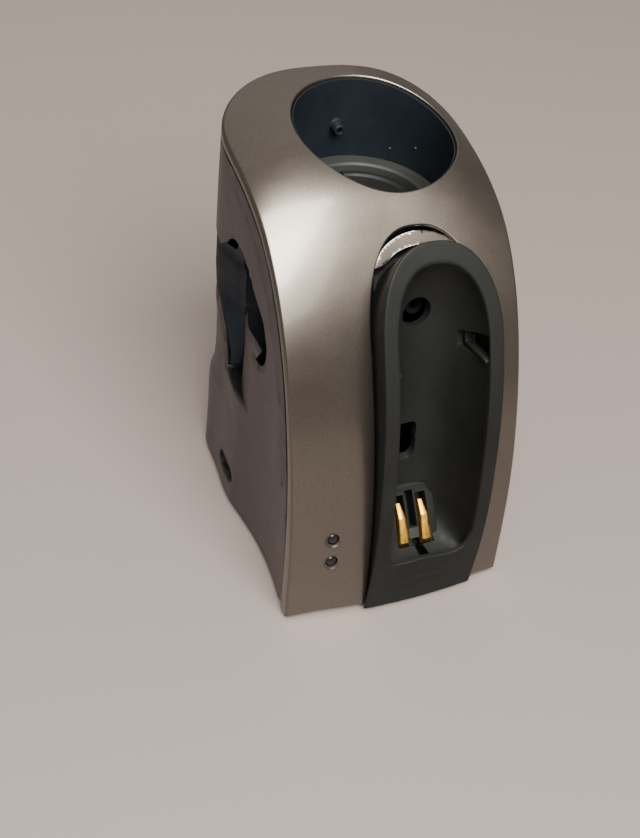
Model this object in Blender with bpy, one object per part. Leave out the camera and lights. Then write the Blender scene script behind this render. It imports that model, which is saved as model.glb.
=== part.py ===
"""Charging and refill stand for a hand-held groomer.

Stand frame, in millimetres: x from the middle plane of the well and the cradle, to the viewer's
right; y from the front edge of the foot, to the back; z from the lower edge of the shell, up.
STAND_PLACE puts that frame where the whole stand is centred over the origin, on its feet.
"""

import math

import bmesh
import bpy
import numpy as np
from mathutils import Matrix, Vector
from mathutils.geometry import delaunay_2d_cdt

MM = 0.001
GAP = 0.35
STAND_PLACE = (7.5, -55.5, 1.6)

# Outer form
MIDDLE_X = -7.5
HALF_WIDTH = 39.2
TOP_FLARE = 0.9
BACK_CENTRE_Y = 80.0
BACK_POWER = 2.4
CROWN = 6.5
FRONT_BULGE = 3.3
BULGE_TURN_Z = 70.0
SIDE_PINCH = 2.4
SIDE_WIDENING = 1.4
FRONT_PROFILE = ((0, 0), (4.9, 39.1), (14.7, 73.6), (28.6, 102.7), (48.1, 124.3), (78.2, 135.2), (114, 137.1))
BACK_DEPTHS = (
    (0, 27), (24, 28.6), (33, 29), (38.5, 25.4), (50, 26), (62, 28.6), (80, 30.4), (100, 31.4), (140, 34),
)
EDGE_ROUND = 2.2
SHELL_WALL = 2.0
SKIRT_FOOT = 4.6
SKIRT_TOP = 2.4
HOUSING_WALL = 2.2

# Bottle well
WELL_Y = 80.2
WELL_RADIUS = 27.0
LINER_RADIUS = 26.2
LINER_OUTER_RADIUS = 27.8
LEDGE_Z = 107.4
LEDGE_RADIUS = 20.7
PLATFORM_TOP_Z = 105.0

# Cradle
SLOT_HALF = 19.3
SLOT_POWER = 2.4
SLOT_SPRING_Z = 90.0
SLOT_TOP_Z = 119.5
CRADLE_HALF = 18.7
CRADLE_TOP_Z = 113.5
RIM_FLARE = 1.085
RIM_INNER = 0.785
RIM_PROUD = ((0, 2.0), (19, 4.5), (40, 6.8), (58, 8.5), (72, 10.0), (88, 11.0), (128, 11.4))
TROUGH_DEPTHS = ((0, 13), (30, 15.5), (52, 15.5), (80, 11), (100, 6), (128, 3))
LIP_S = 16.5
FLOOR_REACH = 14.0
LATCH_PLACE = (19.5, 91.0)
LATCH_SLANT = 24.0

# Charging contacts
CONTACT_X = 0.0
CONTACT_PITCH = 8.2
CONTACT_WIDTH = 3.2
BLOCK_HALF = 9.0
RAMP_TOP = (17.5, 32.6)
RAMP_FOOT = (3.9, 15.1)

# Side window and finger recess, as (y, z) seen from the side
WINDOW_REAR_LOW_Z = 70.6
WINDOW_REAR_HIGH_Z = 91.0
RECESS_FLOOR_Z = 48.6
RECESS_TOP_Z = 84.0
RECESS_FRONT_Y = 54.5
RECESS_REAR_Y = 73.0
RECESS_DEPTH = 5.4

# Power inlet and indicator lights
INLET_Y = 62.8
INLET_Z = 11.5
INLET_LENGTH = 14.5
INLET_HEIGHT = 7.6
PIN_PITCH = 8.0
LIGHTS = ((-32.6, 31.0), (-32.7, 22.0))
LIGHT_RADIUS = 1.9


# ---------------------------------------------------------------- curves

def natural_spline(knots, values):
    """A smooth function through the values at the knots."""
    knots = np.array(knots, float)
    values = np.array(values, float)
    count = len(knots)
    steps = np.diff(knots)
    system = np.eye(count)
    right = np.zeros(count)
    for i in range(1, count - 1):
        system[i, i - 1 : i + 2] = steps[i - 1], 2 * (steps[i - 1] + steps[i]), steps[i]
        right[i] = 6 * ((values[i + 1] - values[i]) / steps[i] - (values[i] - values[i - 1]) / steps[i - 1])
    bends = np.linalg.solve(system, right)

    def value(t):
        i = int(np.clip(np.searchsorted(knots, t) - 1, 0, count - 2))
        a = (knots[i + 1] - t) / steps[i]
        b = 1 - a
        curl = ((a**3 - a) * bends[i] + (b**3 - b) * bends[i + 1]) * steps[i] ** 2 / 6
        return a * values[i] + b * values[i + 1] + curl

    return value


def smooth(t):
    t = min(max(t, 0.0), 1.0)
    return t * t * (3 - 2 * t)


def profile_table():
    """The side view of the front and top: the path length s, and y and z along it."""
    points = np.array(FRONT_PROFILE, float)
    chords = np.concatenate([[0], np.cumsum(np.hypot(*np.diff(points, axis=0).T))])
    along_y = natural_spline(chords, points[:, 0])
    along_z = natural_spline(chords, points[:, 1])
    fine = np.linspace(0, chords[-1], 600)
    y = np.array([along_y(t) for t in fine])
    z = np.array([along_z(t) for t in fine])
    s = np.concatenate([[0], np.cumsum(np.hypot(np.diff(y), np.diff(z)))])
    return s, y, z


PATH_S, PATH_Y, PATH_Z = profile_table()
BACK_DEPTH = natural_spline(*zip(*BACK_DEPTHS))
PROUD = natural_spline(*zip(*RIM_PROUD))
TROUGH = natural_spline(*zip(*TROUGH_DEPTHS))


def s_at_height(z):
    return float(np.interp(z, PATH_Z[:520], PATH_S[:520]))


SLOT_SPRING_S = s_at_height(SLOT_SPRING_Z)
SLOT_TOP_S = s_at_height(SLOT_TOP_Z)
CRADLE_TOP_S = s_at_height(CRADLE_TOP_Z)


def half_width(s):
    return HALF_WIDTH + TOP_FLARE * (min(s, 200) / 200) ** 2


def skin(x, s, depth=0.0):
    """The point at x and path length s on the outer form, sunk by depth along the path's normal."""
    y = float(np.interp(s, PATH_S, PATH_Y))
    z = float(np.interp(s, PATH_S, PATH_Z))
    dy = float(np.interp(s + 0.5, PATH_S, PATH_Y) - np.interp(s - 0.5, PATH_S, PATH_Y))
    dz = float(np.interp(s + 0.5, PATH_S, PATH_Z) - np.interp(s - 0.5, PATH_S, PATH_Z))
    size = math.hypot(dy, dz)
    across = min(abs((x - MIDDLE_X) / half_width(s)), 1.05)
    bulge = FRONT_BULGE * max(1 - z / BULGE_TURN_Z, -0.7) * (1 - across**2)
    drop = CROWN * (z / 130) ** 3 * across**3
    return (x, y - bulge + depth * dz / size, z - drop - depth * dy / size)


def s_at_plan(x, y):
    """The path length where the outer form stands over the plan point (x, y)."""
    low, high = SLOT_SPRING_S, float(PATH_S[-1])
    for _ in range(30):
        middle = (low + high) / 2
        if skin(x, middle)[1] < y:
            low = middle
        else:
            high = middle
    return low


def arch(half, spring, top, count, power=SLOT_POWER):
    """A round-headed slot's outline, up the left side, over and down the right, as (x, s)."""
    points = [(-half, spring * i / 8) for i in range(8)]
    for i in range(count + 1):
        turn = math.pi * (1 - i / count)
        x = half * math.copysign(abs(math.cos(turn)) ** (2 / power), math.cos(turn))
        points.append((x, spring + (top - spring) * abs(math.sin(turn)) ** (2 / power)))
    points += [(half, spring * (7 - i) / 8) for i in range(8)]
    return points


# ---------------------------------------------------------------- meshes

def material(name, colour, roughness, metallic=0.0):
    made = bpy.data.materials.get(name)
    if made:
        return made
    made = bpy.data.materials.new(name)
    made.use_nodes = True
    made.diffuse_color = (*colour, 1)
    shader = made.node_tree.nodes["Principled BSDF"]
    shader.inputs["Base Color"].default_value = (*colour, 1)
    shader.inputs["Roughness"].default_value = roughness
    shader.inputs["Metallic"].default_value = metallic
    return made


def silver():
    return material("silver_lacquer", (0.56, 0.52, 0.46), 0.28, 0.85)


def housing_grey():
    return material("housing_lacquer", (0.14, 0.12, 0.12), 0.42, 0.6)


def navy():
    return material("navy_plastic", (0.02, 0.028, 0.04), 0.6)


def dark_plastic():
    return material("dark_plastic", (0.045, 0.047, 0.045), 0.5)


def gold():
    return material("gold_plate", (0.8, 0.52, 0.14), 0.25, 1.0)


def steel():
    return material("steel", (0.5, 0.5, 0.5), 0.3, 1.0)


def rubber():
    return material("rubber", (0.02, 0.02, 0.02), 0.85)


def lens_plastic():
    return material("smoked_lens", (0.02, 0.02, 0.025), 0.12)


def board_green():
    return material("board", (0.02, 0.12, 0.05), 0.5)


def copper():
    return material("copper_winding", (0.55, 0.22, 0.08), 0.4, 0.8)


def clear_tube():
    return material("tube", (0.6, 0.6, 0.58), 0.3)


def add(name, mesh_data, look, pivot=(0, 0, 0)):
    """Makes an object from a bmesh in stand millimetres, with its origin at the pivot."""
    bmesh.ops.remove_doubles(mesh_data, verts=mesh_data.verts, dist=1e-4)
    bmesh.ops.recalc_face_normals(mesh_data, faces=mesh_data.faces)
    mesh_data.transform(Matrix.Scale(MM, 4) @ Matrix.Translation(-Vector(pivot)))
    data = bpy.data.meshes.new(name)
    mesh_data.to_mesh(data)
    mesh_data.free()
    data.materials.append(look)
    data.shade_smooth()
    data.set_sharp_from_angle(angle=math.radians(35))
    made = bpy.data.objects.new(name, data)
    bpy.context.scene.collection.objects.link(made)
    made.parent = bpy.data.objects["stand_frame"]
    made.location = Vector(pivot) * MM
    return made


def cut(target, cutter):
    """Takes the cutter's shape out of the target."""
    cutter.hide_render = True
    cutter.display_type = "WIRE"
    cutting = target.modifiers.new("cut_" + cutter.name, "BOOLEAN")
    cutting.operation = "DIFFERENCE"
    cutting.object = cutter
    cutting.solver = "EXACT"


def box_mesh(low, high):
    shape = bmesh.new()
    bmesh.ops.create_cube(shape, size=1)
    size = [b - a for a, b in zip(low, high)]
    middle = [(a + b) / 2 for a, b in zip(low, high)]
    shape.transform(Matrix.Translation(middle) @ Matrix.Diagonal((*size, 1)))
    return shape


def side_prism(points, x_low, x_high):
    """A (y, z) outline extruded along x."""
    shape = bmesh.new()
    near = [shape.verts.new((x_low, y, z)) for y, z in points]
    face = shape.faces.new(near)
    moved = bmesh.ops.extrude_face_region(shape, geom=[face])["geom"]
    ends = [item for item in moved if isinstance(item, bmesh.types.BMVert)]
    bmesh.ops.translate(shape, verts=ends, vec=(x_high - x_low, 0, 0))
    bmesh.ops.recalc_face_normals(shape, faces=shape.faces)
    return shape


def turned(outline, sides=24, closed=True):
    """A solid turned about the z axis from its (radius, z) outline; a zero radius is on the axis."""
    shape = bmesh.new()
    rings = []
    for radius, z in outline:
        if radius < 1e-6:
            rings.append([shape.verts.new((0, 0, z))] * sides)
            continue
        angles = [2 * math.pi * i / sides for i in range(sides)]
        rings.append([shape.verts.new((radius * math.cos(a), radius * math.sin(a), z)) for a in angles])
    last = len(rings) if closed else len(rings) - 1
    for k in range(last):
        bridge(shape, rings[k], rings[(k + 1) % len(rings)])
    bmesh.ops.recalc_face_normals(shape, faces=shape.faces)
    return shape


def bridge(shape, first, second):
    """Joins two closed rings of the same length with faces."""
    count = len(first)
    for i in range(count):
        j = (i + 1) % count
        corners = []
        for vert in (first[i], first[j], second[j], second[i]):
            if vert not in corners:
                corners.append(vert)
        if len(corners) > 2:
            shape.faces.new(corners)


def placed(shape, axis, point):
    """Turns a shape made along +z to lie along the axis, and moves it to the point."""
    turn = Vector((0, 0, 1)).rotation_difference(Vector(axis)).to_matrix().to_4x4()
    shape.transform(Matrix.Translation(point) @ turn)
    return shape


def tube_mesh(points, radius, sides=8):
    """A round tube along the points, with flat ends."""
    shape = bmesh.new()
    path = [Vector(p) for p in points]
    rings = []
    side = None
    for i, point in enumerate(path):
        ahead = (path[min(i + 1, len(path) - 1)] - path[max(i - 1, 0)]).normalized()
        side = ahead.orthogonal() if side is None else side - ahead * side.dot(ahead)
        side.normalize()
        other = ahead.cross(side)
        ring = []
        for k in range(sides):
            angle = 2 * math.pi * k / sides
            ring.append(shape.verts.new(point + radius * (math.cos(angle) * side + math.sin(angle) * other)))
        rings.append(ring)
    for first, second in zip(rings, rings[1:]):
        bridge(shape, first, second)
    shape.faces.new(rings[0])
    shape.faces.new(rings[-1])
    bmesh.ops.recalc_face_normals(shape, faces=shape.faces)
    return shape


def smooth_path(points, count):
    """Points along a smooth curve through the given ones."""
    points = np.array(points, float)
    chords = np.concatenate([[0], np.cumsum(np.linalg.norm(np.diff(points, axis=0), axis=1))])
    along = [natural_spline(chords, points[:, k]) for k in range(3)]
    return [tuple(f(t) for f in along) for t in np.linspace(0, chords[-1], count)]


def inside(point, loop):
    """Whether a 2-D point is inside a closed loop."""
    x, y = point
    found = False
    for (x1, y1), (x2, y2) in zip(loop, loop[1:] + loop[:1]):
        if (y1 > y) != (y2 > y) and x < (x2 - x1) * (y - y1) / (y2 - y1) + x1:
            found = not found
    return found


def away_from(point, loops, distance):
    p = np.array(point)
    for loop in loops:
        a = np.array(loop)
        b = np.roll(a, -1, axis=0)
        along = b - a
        t = np.clip(((p - a) * along).sum(1) / np.maximum((along**2).sum(1), 1e-12), 0, 1)
        if np.hypot(*(a + t[:, None] * along - p).T).min() < distance:
            return False
    return True


def sheet_mesh(outline, holes, spacing, outer, inner, lines=()):
    """A closed wall over a flat pattern.

    outline and holes are loops in the pattern, outer and inner give the 3-D point of each face of the
    wall over a pattern point, and lines are extra creases in the pattern.
    """
    loops = [list(outline)] + [list(hole) for hole in holes]
    points = []
    edges = []
    for loop in loops:
        first = len(points)
        points += loop
        edges += [(first + i, first + (i + 1) % len(loop)) for i in range(len(loop))]
    for line in lines:
        first = len(points)
        points += line
        edges += [(first + i, first + i + 1) for i in range(len(line) - 1)]
    low = np.min(outline, axis=0)
    high = np.max(outline, axis=0)
    near = loops + [list(line) for line in lines]
    rows = int((high[1] - low[1]) / (spacing * 0.87)) + 1
    for row in range(1, rows):
        b = low[1] + row * spacing * 0.87
        columns = int((high[0] - low[0]) / spacing) + 2
        for column in range(columns):
            a = low[0] + (column + 0.5 * (row % 2)) * spacing
            if inside((a, b), loops[0]) and not any(inside((a, b), hole) for hole in loops[1:]):
                if away_from((a, b), near, spacing * 0.45):
                    points.append((a, b))
    verts, _, faces = delaunay_2d_cdt([Vector(p) for p in points], edges, [], 0, 1e-5, False)[:3]
    shape = bmesh.new()
    top = [shape.verts.new(outer(*v)) for v in verts]
    bottom = [shape.verts.new(inner(*v)) for v in verts]
    used = {}
    for face in faces:
        middle = sum((verts[i] for i in face), Vector((0, 0))) / len(face)
        if not inside(middle, loops[0]) or any(inside(middle, hole) for hole in loops[1:]):
            continue
        shape.faces.new([top[i] for i in face])
        shape.faces.new([bottom[i] for i in reversed(face)])
        for i, j in zip(face, list(face[1:]) + [face[0]]):
            used[(i, j)] = used.get((i, j), 0) + 1
    for i, j in used:
        if (j, i) not in used:
            shape.faces.new([top[j], top[i], bottom[i], bottom[j]])
    bmesh.ops.delete(shape, geom=[v for v in shape.verts if not v.link_faces], context="VERTS")
    return shape


# ---------------------------------------------------------------- outer form

def edge_distance(x, s):
    """How far a point of the shell's pattern is from its rounded side and back edge."""
    wide = half_width(s)
    across = abs(x - MIDDLE_X) / wide
    if s <= CAP_S:
        return (1 - across) * wide
    back = (s - CAP_S) / (END_S - CAP_S)
    measure = (across**BACK_POWER + back**BACK_POWER) ** (1 / BACK_POWER)
    return (1 - measure) * wide


CAP_S = float(np.interp(BACK_CENTRE_Y, PATH_Y, PATH_S))
END_S = float(np.interp(BACK_CENTRE_Y + 34.0, PATH_Y, PATH_S))


def skirt(s):
    return SKIRT_FOOT + (SKIRT_TOP - SKIRT_FOOT) * smooth(s / 110)


def shell_outline(cap_count=20, inset=0.0):
    """The shell's pattern: its sides, the round back of the top, and the cradle slot below."""
    slot = arch(SLOT_HALF + inset, SLOT_SPRING_S, SLOT_TOP_S + inset, 18)
    right = [(MIDDLE_X + half_width(s) - inset, s) for s in np.linspace(0, CAP_S, 22)]
    cap = []
    for i in range(1, cap_count):
        turn = math.pi * i / cap_count
        x = (half_width(CAP_S) - inset) * math.copysign(abs(math.cos(turn)) ** (2 / BACK_POWER), math.cos(turn))
        reach = (END_S - CAP_S - inset) * math.sin(turn) ** (2 / BACK_POWER)
        cap.append((MIDDLE_X + x, CAP_S + reach))
    left = [(MIDDLE_X - half_width(s) + inset, s) for s in np.linspace(CAP_S, 0, 22)]
    return slot + right + cap + left


def well_loop(radius, count=40):
    loop = []
    for i in range(count):
        angle = 2 * math.pi * i / count
        x = radius * math.cos(angle)
        y = WELL_Y + radius * math.sin(angle)
        loop.append((x, s_at_plan(x, y)))
    return loop


def front_shell():
    """The silver sheet that is the front and the top, with the well hole, the slot and two light holes."""
    def outer(x, s):
        edge = max(EDGE_ROUND - edge_distance(x, s), 0)
        return skin(x, s, EDGE_ROUND - math.sqrt(max(EDGE_ROUND**2 - edge**2, 0)))

    def inner(x, s):
        near_edge = smooth((EDGE_ROUND + 1.5 - edge_distance(x, s)) / 1.5)
        return skin(x, s, SHELL_WALL + (skirt(s) - SHELL_WALL) * near_edge)

    lights = []
    for x, z in LIGHTS:
        s = s_at_height(z)
        ring = [2 * math.pi * i / 12 for i in range(12)]
        lights.append([(x + 2.3 * math.cos(a), s + 2.3 * math.sin(a)) for a in ring])
    inset_line = edge_line(EDGE_ROUND)
    shape = sheet_mesh(shell_outline(), [well_loop(WELL_RADIUS)] + lights, 6.5, outer, inner, [inset_line])
    return add("front_shell", shape, silver())


def edge_line(inset):
    """A line in the shell's pattern, inset from the side and back edge."""
    left = [(MIDDLE_X - half_width(s) + inset, s) for s in np.linspace(0.8, CAP_S, 20)]
    cap = []
    for i in range(1, 20):
        turn = math.pi * (1 - i / 20)
        x = (half_width(CAP_S) - inset) * math.copysign(abs(math.cos(turn)) ** (2 / BACK_POWER), math.cos(turn))
        cap.append((MIDDLE_X + x, CAP_S + (END_S - CAP_S - inset) * math.sin(turn) ** (2 / BACK_POWER)))
    right = [(MIDDLE_X + half_width(s) - inset, s) for s in np.linspace(CAP_S, 0.8, 20)]
    return left + cap + right


BACK_TURN = 100.0


def plan_point(t, z):
    """The plan point of the housing at t round its wall: t is y up the left side, then round the back."""
    length = BACK_CENTRE_Y
    high = smooth(z / 120)
    wide = HALF_WIDTH + TOP_FLARE * high + SIDE_WIDENING * (1 - high)
    if t <= length or t >= length + BACK_TURN:
        y = t if t <= length else 2 * length + BACK_TURN - t
        pinch = SIDE_PINCH * math.sin(math.pi * min(max(y, 0) / 55, 1)) + SIDE_WIDENING * (1 - min(y / 70, 1))
        x = wide - pinch * (1 - high)
        return (MIDDLE_X + (-x if t <= length else x), y)
    turn = math.pi * (t - length) / BACK_TURN
    x = -wide * math.copysign(abs(math.cos(turn)) ** (2 / BACK_POWER), math.cos(turn))
    return (MIDDLE_X + x, length + BACK_DEPTH(z) * math.sin(turn) ** (2 / BACK_POWER))


def wall_point(t, z, depth):
    """The point on the housing at (t, z), sunk by depth into the body."""
    before = plan_point(t - 0.4, z)
    after = plan_point(t + 0.4, z)
    along = Vector((after[0] - before[0], after[1] - before[1])).normalized()
    x, y = plan_point(t, z)
    return (x + depth * along.y, y - depth * along.x, z)


WALL_LENGTH = 2 * BACK_CENTRE_Y + BACK_TURN


def seam_height(t):
    """The top of the housing's back wall, below the shell's skirt."""
    x, y = plan_point(t, 128)
    s = s_at_plan(x, min(y, 113.5))
    return skin(x, s)[2] - SKIRT_TOP - GAP


def housing_outline():
    """The housing's pattern, in (t, z)."""
    left = []
    for s in np.linspace(0.5, CAP_S, 26):
        _, y, z = skin(MIDDLE_X - half_width(s), s, skirt(s) + GAP)
        left.append((y, z))
    right = [(WALL_LENGTH - t, z) for t, z in reversed(left)]
    back = [(t, seam_height(t)) for t in np.linspace(BACK_CENTRE_Y + 4, WALL_LENGTH - BACK_CENTRE_Y - 4, 25)]
    top = left + back + right
    start, end = left[0][0], WALL_LENGTH - left[0][0]
    bottom = [(t, 0.0) for t in np.linspace(end - 6, start + 6, 24)]
    return top + [(end, 0.0)] + bottom + [(start, 0.0)]


WINDOW_FRONT = (
    (82.5, 92.5), (79.5, 97.0), (75.3, 101.1), (71.7, 102.6), (65.9, 102.7), (60.9, 101.4), (56.5, 98.6),
    (51.9, 94.9), (47.7, 92.6), (43.4, 90.0), (40.5, 86.0), (39.9, 81.0), (40.6, 76.6), (44.0, 73.4),
    (47.8, 72.6), (45.6, 75.6), (43.4, 79.4), (48.4, 79.9), (53.8, 78.3), (60.8, 75.8), (66.0, 74.6),
    (71.0, 74.6), (71.5, 66.0), (71.8, 57.0), (72.0, 49.6), (74.4, 48.6), (77.0, 54.5), (80.3, 63.5),
    (83.0, 69.0),
)


def window_loop():
    """The opening that runs from the left side round the back to the right side."""
    right = [(WALL_LENGTH - t, z) for t, z in reversed(WINDOW_FRONT)]
    turns = np.linspace(90, WALL_LENGTH - 90, 14)
    low = [(t, WINDOW_REAR_LOW_Z) for t in turns]
    high = [(t, WINDOW_REAR_HIGH_Z) for t in reversed(turns)]
    return list(WINDOW_FRONT) + low + right + high


def recess(t, z):
    """How far the finger recess sinks the housing's wall."""
    y = t if t < WALL_LENGTH / 2 else WALL_LENGTH - t
    if not RECESS_FLOOR_Z + 0.4 <= z <= RECESS_TOP_Z or y > RECESS_REAR_Y:
        return 0.0
    ramp = (y - RECESS_FRONT_Y) / (RECESS_REAR_Y - RECESS_FRONT_Y)
    return RECESS_DEPTH * math.sin(math.pi / 2 * max(ramp, 0))


def rear_housing():
    """The dark body behind the shell: sides and back in one wall, with the window and the inlet hole."""
    inlet = []
    for i in range(16):
        angle = 2 * math.pi * i / 16
        reach = INLET_LENGTH / 2 * math.cos(angle)
        inlet.append((INLET_Y + reach, INLET_Z + INLET_HEIGHT / 2 * math.sin(angle)))
    floor = []
    for side in (0, 1):
        for z in (RECESS_FLOOR_Z, RECESS_FLOOR_Z + 0.45):
            line = [(y, z) for y in np.linspace(RECESS_FRONT_Y, RECESS_REAR_Y - 2.2, 5)]
            floor.append([(WALL_LENGTH - y, z) for y, z in line] if side else line)
    steps = [[(t, z) for t in np.linspace(14, WALL_LENGTH - 14, 34)] for z in (33.0, 38.5)]
    shape = sheet_mesh(
        housing_outline(), [window_loop(), inlet], 7.0,
        lambda t, z: wall_point(t, z, recess(t, z)),
        lambda t, z: wall_point(t, z, recess(t, z) + HOUSING_WALL),
        floor + steps,
    )
    return add("rear_housing", shape, housing_grey())


def guard_depth(t, z):
    """The guard bulges out to fill the window, and keeps inside the housing's wall elsewhere."""
    y = t if t < WALL_LENGTH / 2 else WALL_LENGTH - t
    fill = smooth((z - WINDOW_REAR_LOW_Z - 0.6) / 4) * smooth((WINDOW_REAR_HIGH_Z - 0.6 - z) / 4)
    return 5.2 - 3.8 * fill * smooth((y - 70) / 16)


def bottle_guard():
    """The blue-black inner wall behind the window."""
    start, end = 74.8, WALL_LENGTH - 74.8
    side = np.linspace(74.8, 104.0, 8)
    turns = np.linspace(start, end, 40)
    outline = [(start, z) for z in side] + [(t, 104.0) for t in turns[1:-1]]
    outline += [(end, z) for z in reversed(side)] + [(t, 50.0) for t in reversed(turns[4:-4])]
    shape = sheet_mesh(
        outline, [], 7.0,
        lambda t, z: wall_point(t, z, guard_depth(t, z)),
        lambda t, z: wall_point(t, z, guard_depth(t, z) + 1.6),
    )
    return add("bottle_guard", shape, navy())


def base_outline(inset):
    """The plan of the foot, inset inside the shell and the housing."""
    points = []
    for x in np.linspace(MIDDLE_X - HALF_WIDTH + inset + 3, MIDDLE_X + HALF_WIDTH - inset - 3, 24):
        behind_cradle = abs(x) < CRADLE_HALF * RIM_FLARE + 2
        points.append((x, TROUGH(0) + 5.0 if behind_cradle else skin(x, 0.5)[1] + inset + 3))
    for t in np.linspace(WALL_LENGTH - 12, 12, 44):
        x, y, _ = wall_point(t, 2.0, inset)
        points.append((x, y))
    return points


def base_plate():
    """The plate that closes the stand from below, with holes for its screws."""
    holes = []
    for x, y in SCREW_PLACES:
        turns = np.linspace(0, 2 * math.pi, 13)[:-1]
        holes.append([(x + 1.7 * math.cos(a), y + 1.7 * math.sin(a)) for a in turns])
    shape = sheet_mesh(
        base_outline(HOUSING_WALL + 2 * GAP), holes, 14,
        lambda x, y: (x, y, 0.0), lambda x, y: (x, y, 2.4),
    )
    return add("base_plate", shape, dark_plastic())


SCREW_PLACES = ((MIDDLE_X - 27, 24), (MIDDLE_X + 27, 24), (MIDDLE_X - 24, 88), (MIDDLE_X + 24, 88))
FOOT_PLACES = ((MIDDLE_X - 30, 14), (MIDDLE_X + 30, 14), (MIDDLE_X - 29, 78), (MIDDLE_X + 29, 78))


def feet_and_screws():
    for i, (x, y) in enumerate(FOOT_PLACES):
        foot = turned([(0, 0), (4.4, 0), (5, 0.4), (5, 1.2), (0, 1.2)], 20, closed=False)
        add(f"foot_{i + 1}", placed(foot, (0, 0, 1), (x, y, -1.6)), rubber())
    for i, (x, y) in enumerate(SCREW_PLACES):
        outline = [(0, -1.5), (2.6, -1.5), (2.9, -1.1), (2.9, -0.35), (1.3, -0.35), (1.3, 9), (0, 10)]
        screw = turned(outline, 12, closed=False)
        add(f"base_screw_{i + 1}", placed(screw, (0, 0, 1), (x, y, 0)), steel())


# ---------------------------------------------------------------- bottle well

def well_liner():
    """The blue-black cup under the well hole, with its ledge ring, cut to the slope of the top."""
    sides = 48
    shape = bmesh.new()
    corners = ((LINER_RADIUS, None), (LINER_RADIUS, LEDGE_Z), (LEDGE_RADIUS, LEDGE_Z), (LEDGE_RADIUS, 98.5),
               (22.3, 98.5), (22.3, LEDGE_Z - 2.4), (LINER_OUTER_RADIUS, LEDGE_Z - 2.4),
               (LINER_OUTER_RADIUS, None))
    rings = [[] for _ in corners]
    for i in range(sides):
        angle = 2 * math.pi * i / sides
        x, y = math.cos(angle), math.sin(angle)
        plan = (LINER_OUTER_RADIUS * x, WELL_Y + LINER_OUTER_RADIUS * y)
        top = skin(plan[0], s_at_plan(*plan))[2] - SHELL_WALL - 0.9
        for ring, (radius, z) in zip(rings, corners):
            ring.append(shape.verts.new((radius * x, WELL_Y + radius * y, top if z is None else z)))
    for k in range(len(rings)):
        bridge(shape, rings[k], rings[(k + 1) % len(rings)])
    return add("well_liner", shape, navy())


def locating_nub():
    """The hollow peg on the back of the liner's wall."""
    y = WELL_Y + math.sqrt(LINER_RADIUS**2 - 2.5**2) - GAP
    outline = [(0, 0.6), (1.0, 0.6), (1.0, 3.6), (2.0, 3.6), (2.3, 3.2), (2.5, 0), (0, 0)]
    nub = turned(outline, 14, closed=False)
    shape = placed(nub, (0, -1, 0), (0, y, 119.0))
    return add("locating_nub", shape, navy())


def well_platform():
    """The disc that the bottle presses down, on its stem."""
    r = LEDGE_RADIUS - 0.6
    z = PLATFORM_TOP_Z
    outline = [(0, z - 0.8), (r - 2.2, z - 0.8), (r - 1.6, z), (r - 0.3, z), (r, z - 0.4), (r, z - 3.2),
               (4.0, z - 3.2), (4.0, z - 22), (0, z - 22)]
    shape = placed(turned(outline, 40, closed=False), (0, 0, 1), (0, WELL_Y, 0))
    return add("well_platform", shape, dark_plastic(), (0, WELL_Y, z))


def refill_pump():
    """The pump under the platform: its stem runs in the bore, and its spout faces the cradle."""
    outline = [(4.6, 88.2), (4.6, 66), (0, 66), (0, 58), (9, 58), (9.5, 60), (9.5, 80), (7.2, 80), (7.2, 88.2)]
    shape = placed(turned(outline, 24), (0, 0, 1), (0, WELL_Y, 0))
    return add("refill_pump", shape, clear_tube())


def coil_spring(name, centre, radius, wire, low, high, turns, axis=(0, 0, 1), look=None):
    points = []
    count = int(turns * 12)
    for i in range(count + 1):
        angle = 2 * math.pi * turns * i / count
        points.append((radius * math.cos(angle), radius * math.sin(angle), low + (high - low) * i / count))
    shape = placed(tube_mesh(points, wire, 6), axis, centre)
    return add(name, shape, look or steel())


# ---------------------------------------------------------------- cradle

def cradle_measure(ring, along):
    """The pattern point (x, s) at a ring, 1 at the rim and 0 on the middle line, and along it from 0 to 1."""
    side = 0.36
    rise = CRADLE_TOP_S - SLOT_SPRING_S
    if along < side or along > 1 - side:
        s = SLOT_SPRING_S * min(along, 1 - along) / side
        return (-ring * CRADLE_HALF if along < side else ring * CRADLE_HALF, s)
    turn = math.pi * (1 - (along - side) / (1 - 2 * side))
    x = ring * CRADLE_HALF * math.copysign(abs(math.cos(turn)) ** (2 / SLOT_POWER), math.cos(turn))
    return (x, SLOT_SPRING_S + ring * rise * abs(math.sin(turn)) ** (2 / SLOT_POWER))


def trough_share(ring, s):
    """How much of its full depth the trough has at a ring and a path length."""
    if ring >= RIM_INNER or s <= LIP_S:
        return 0.0
    across = (1 - (ring / RIM_INNER) ** 2.4) ** (1 / 2.2)
    floor = min((s - LIP_S) / FLOOR_REACH, 1.0)
    rise = math.sqrt(1 - (1 - floor) ** 2)
    return min(across, 1.0) * rise


def cradle_front(ring, along):
    x, s = cradle_measure(ring, along)
    flare = 1 + (RIM_FLARE - 1) * smooth((ring - 0.6) / 0.4)
    rounding = 1.4 * max(ring - 0.93, 0) / 0.07
    full = PROUD(s) + TROUGH(s)
    return cradle_skin(x * flare, s, -PROUD(s) + rounding + full * trough_share(ring, s))


def cradle_skin(x, s, depth):
    """A point of the cradle, which stops just above the stand's lower edge."""
    x, y, z = skin(x, s, depth)
    return (x, y, max(z, 0.2))


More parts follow.
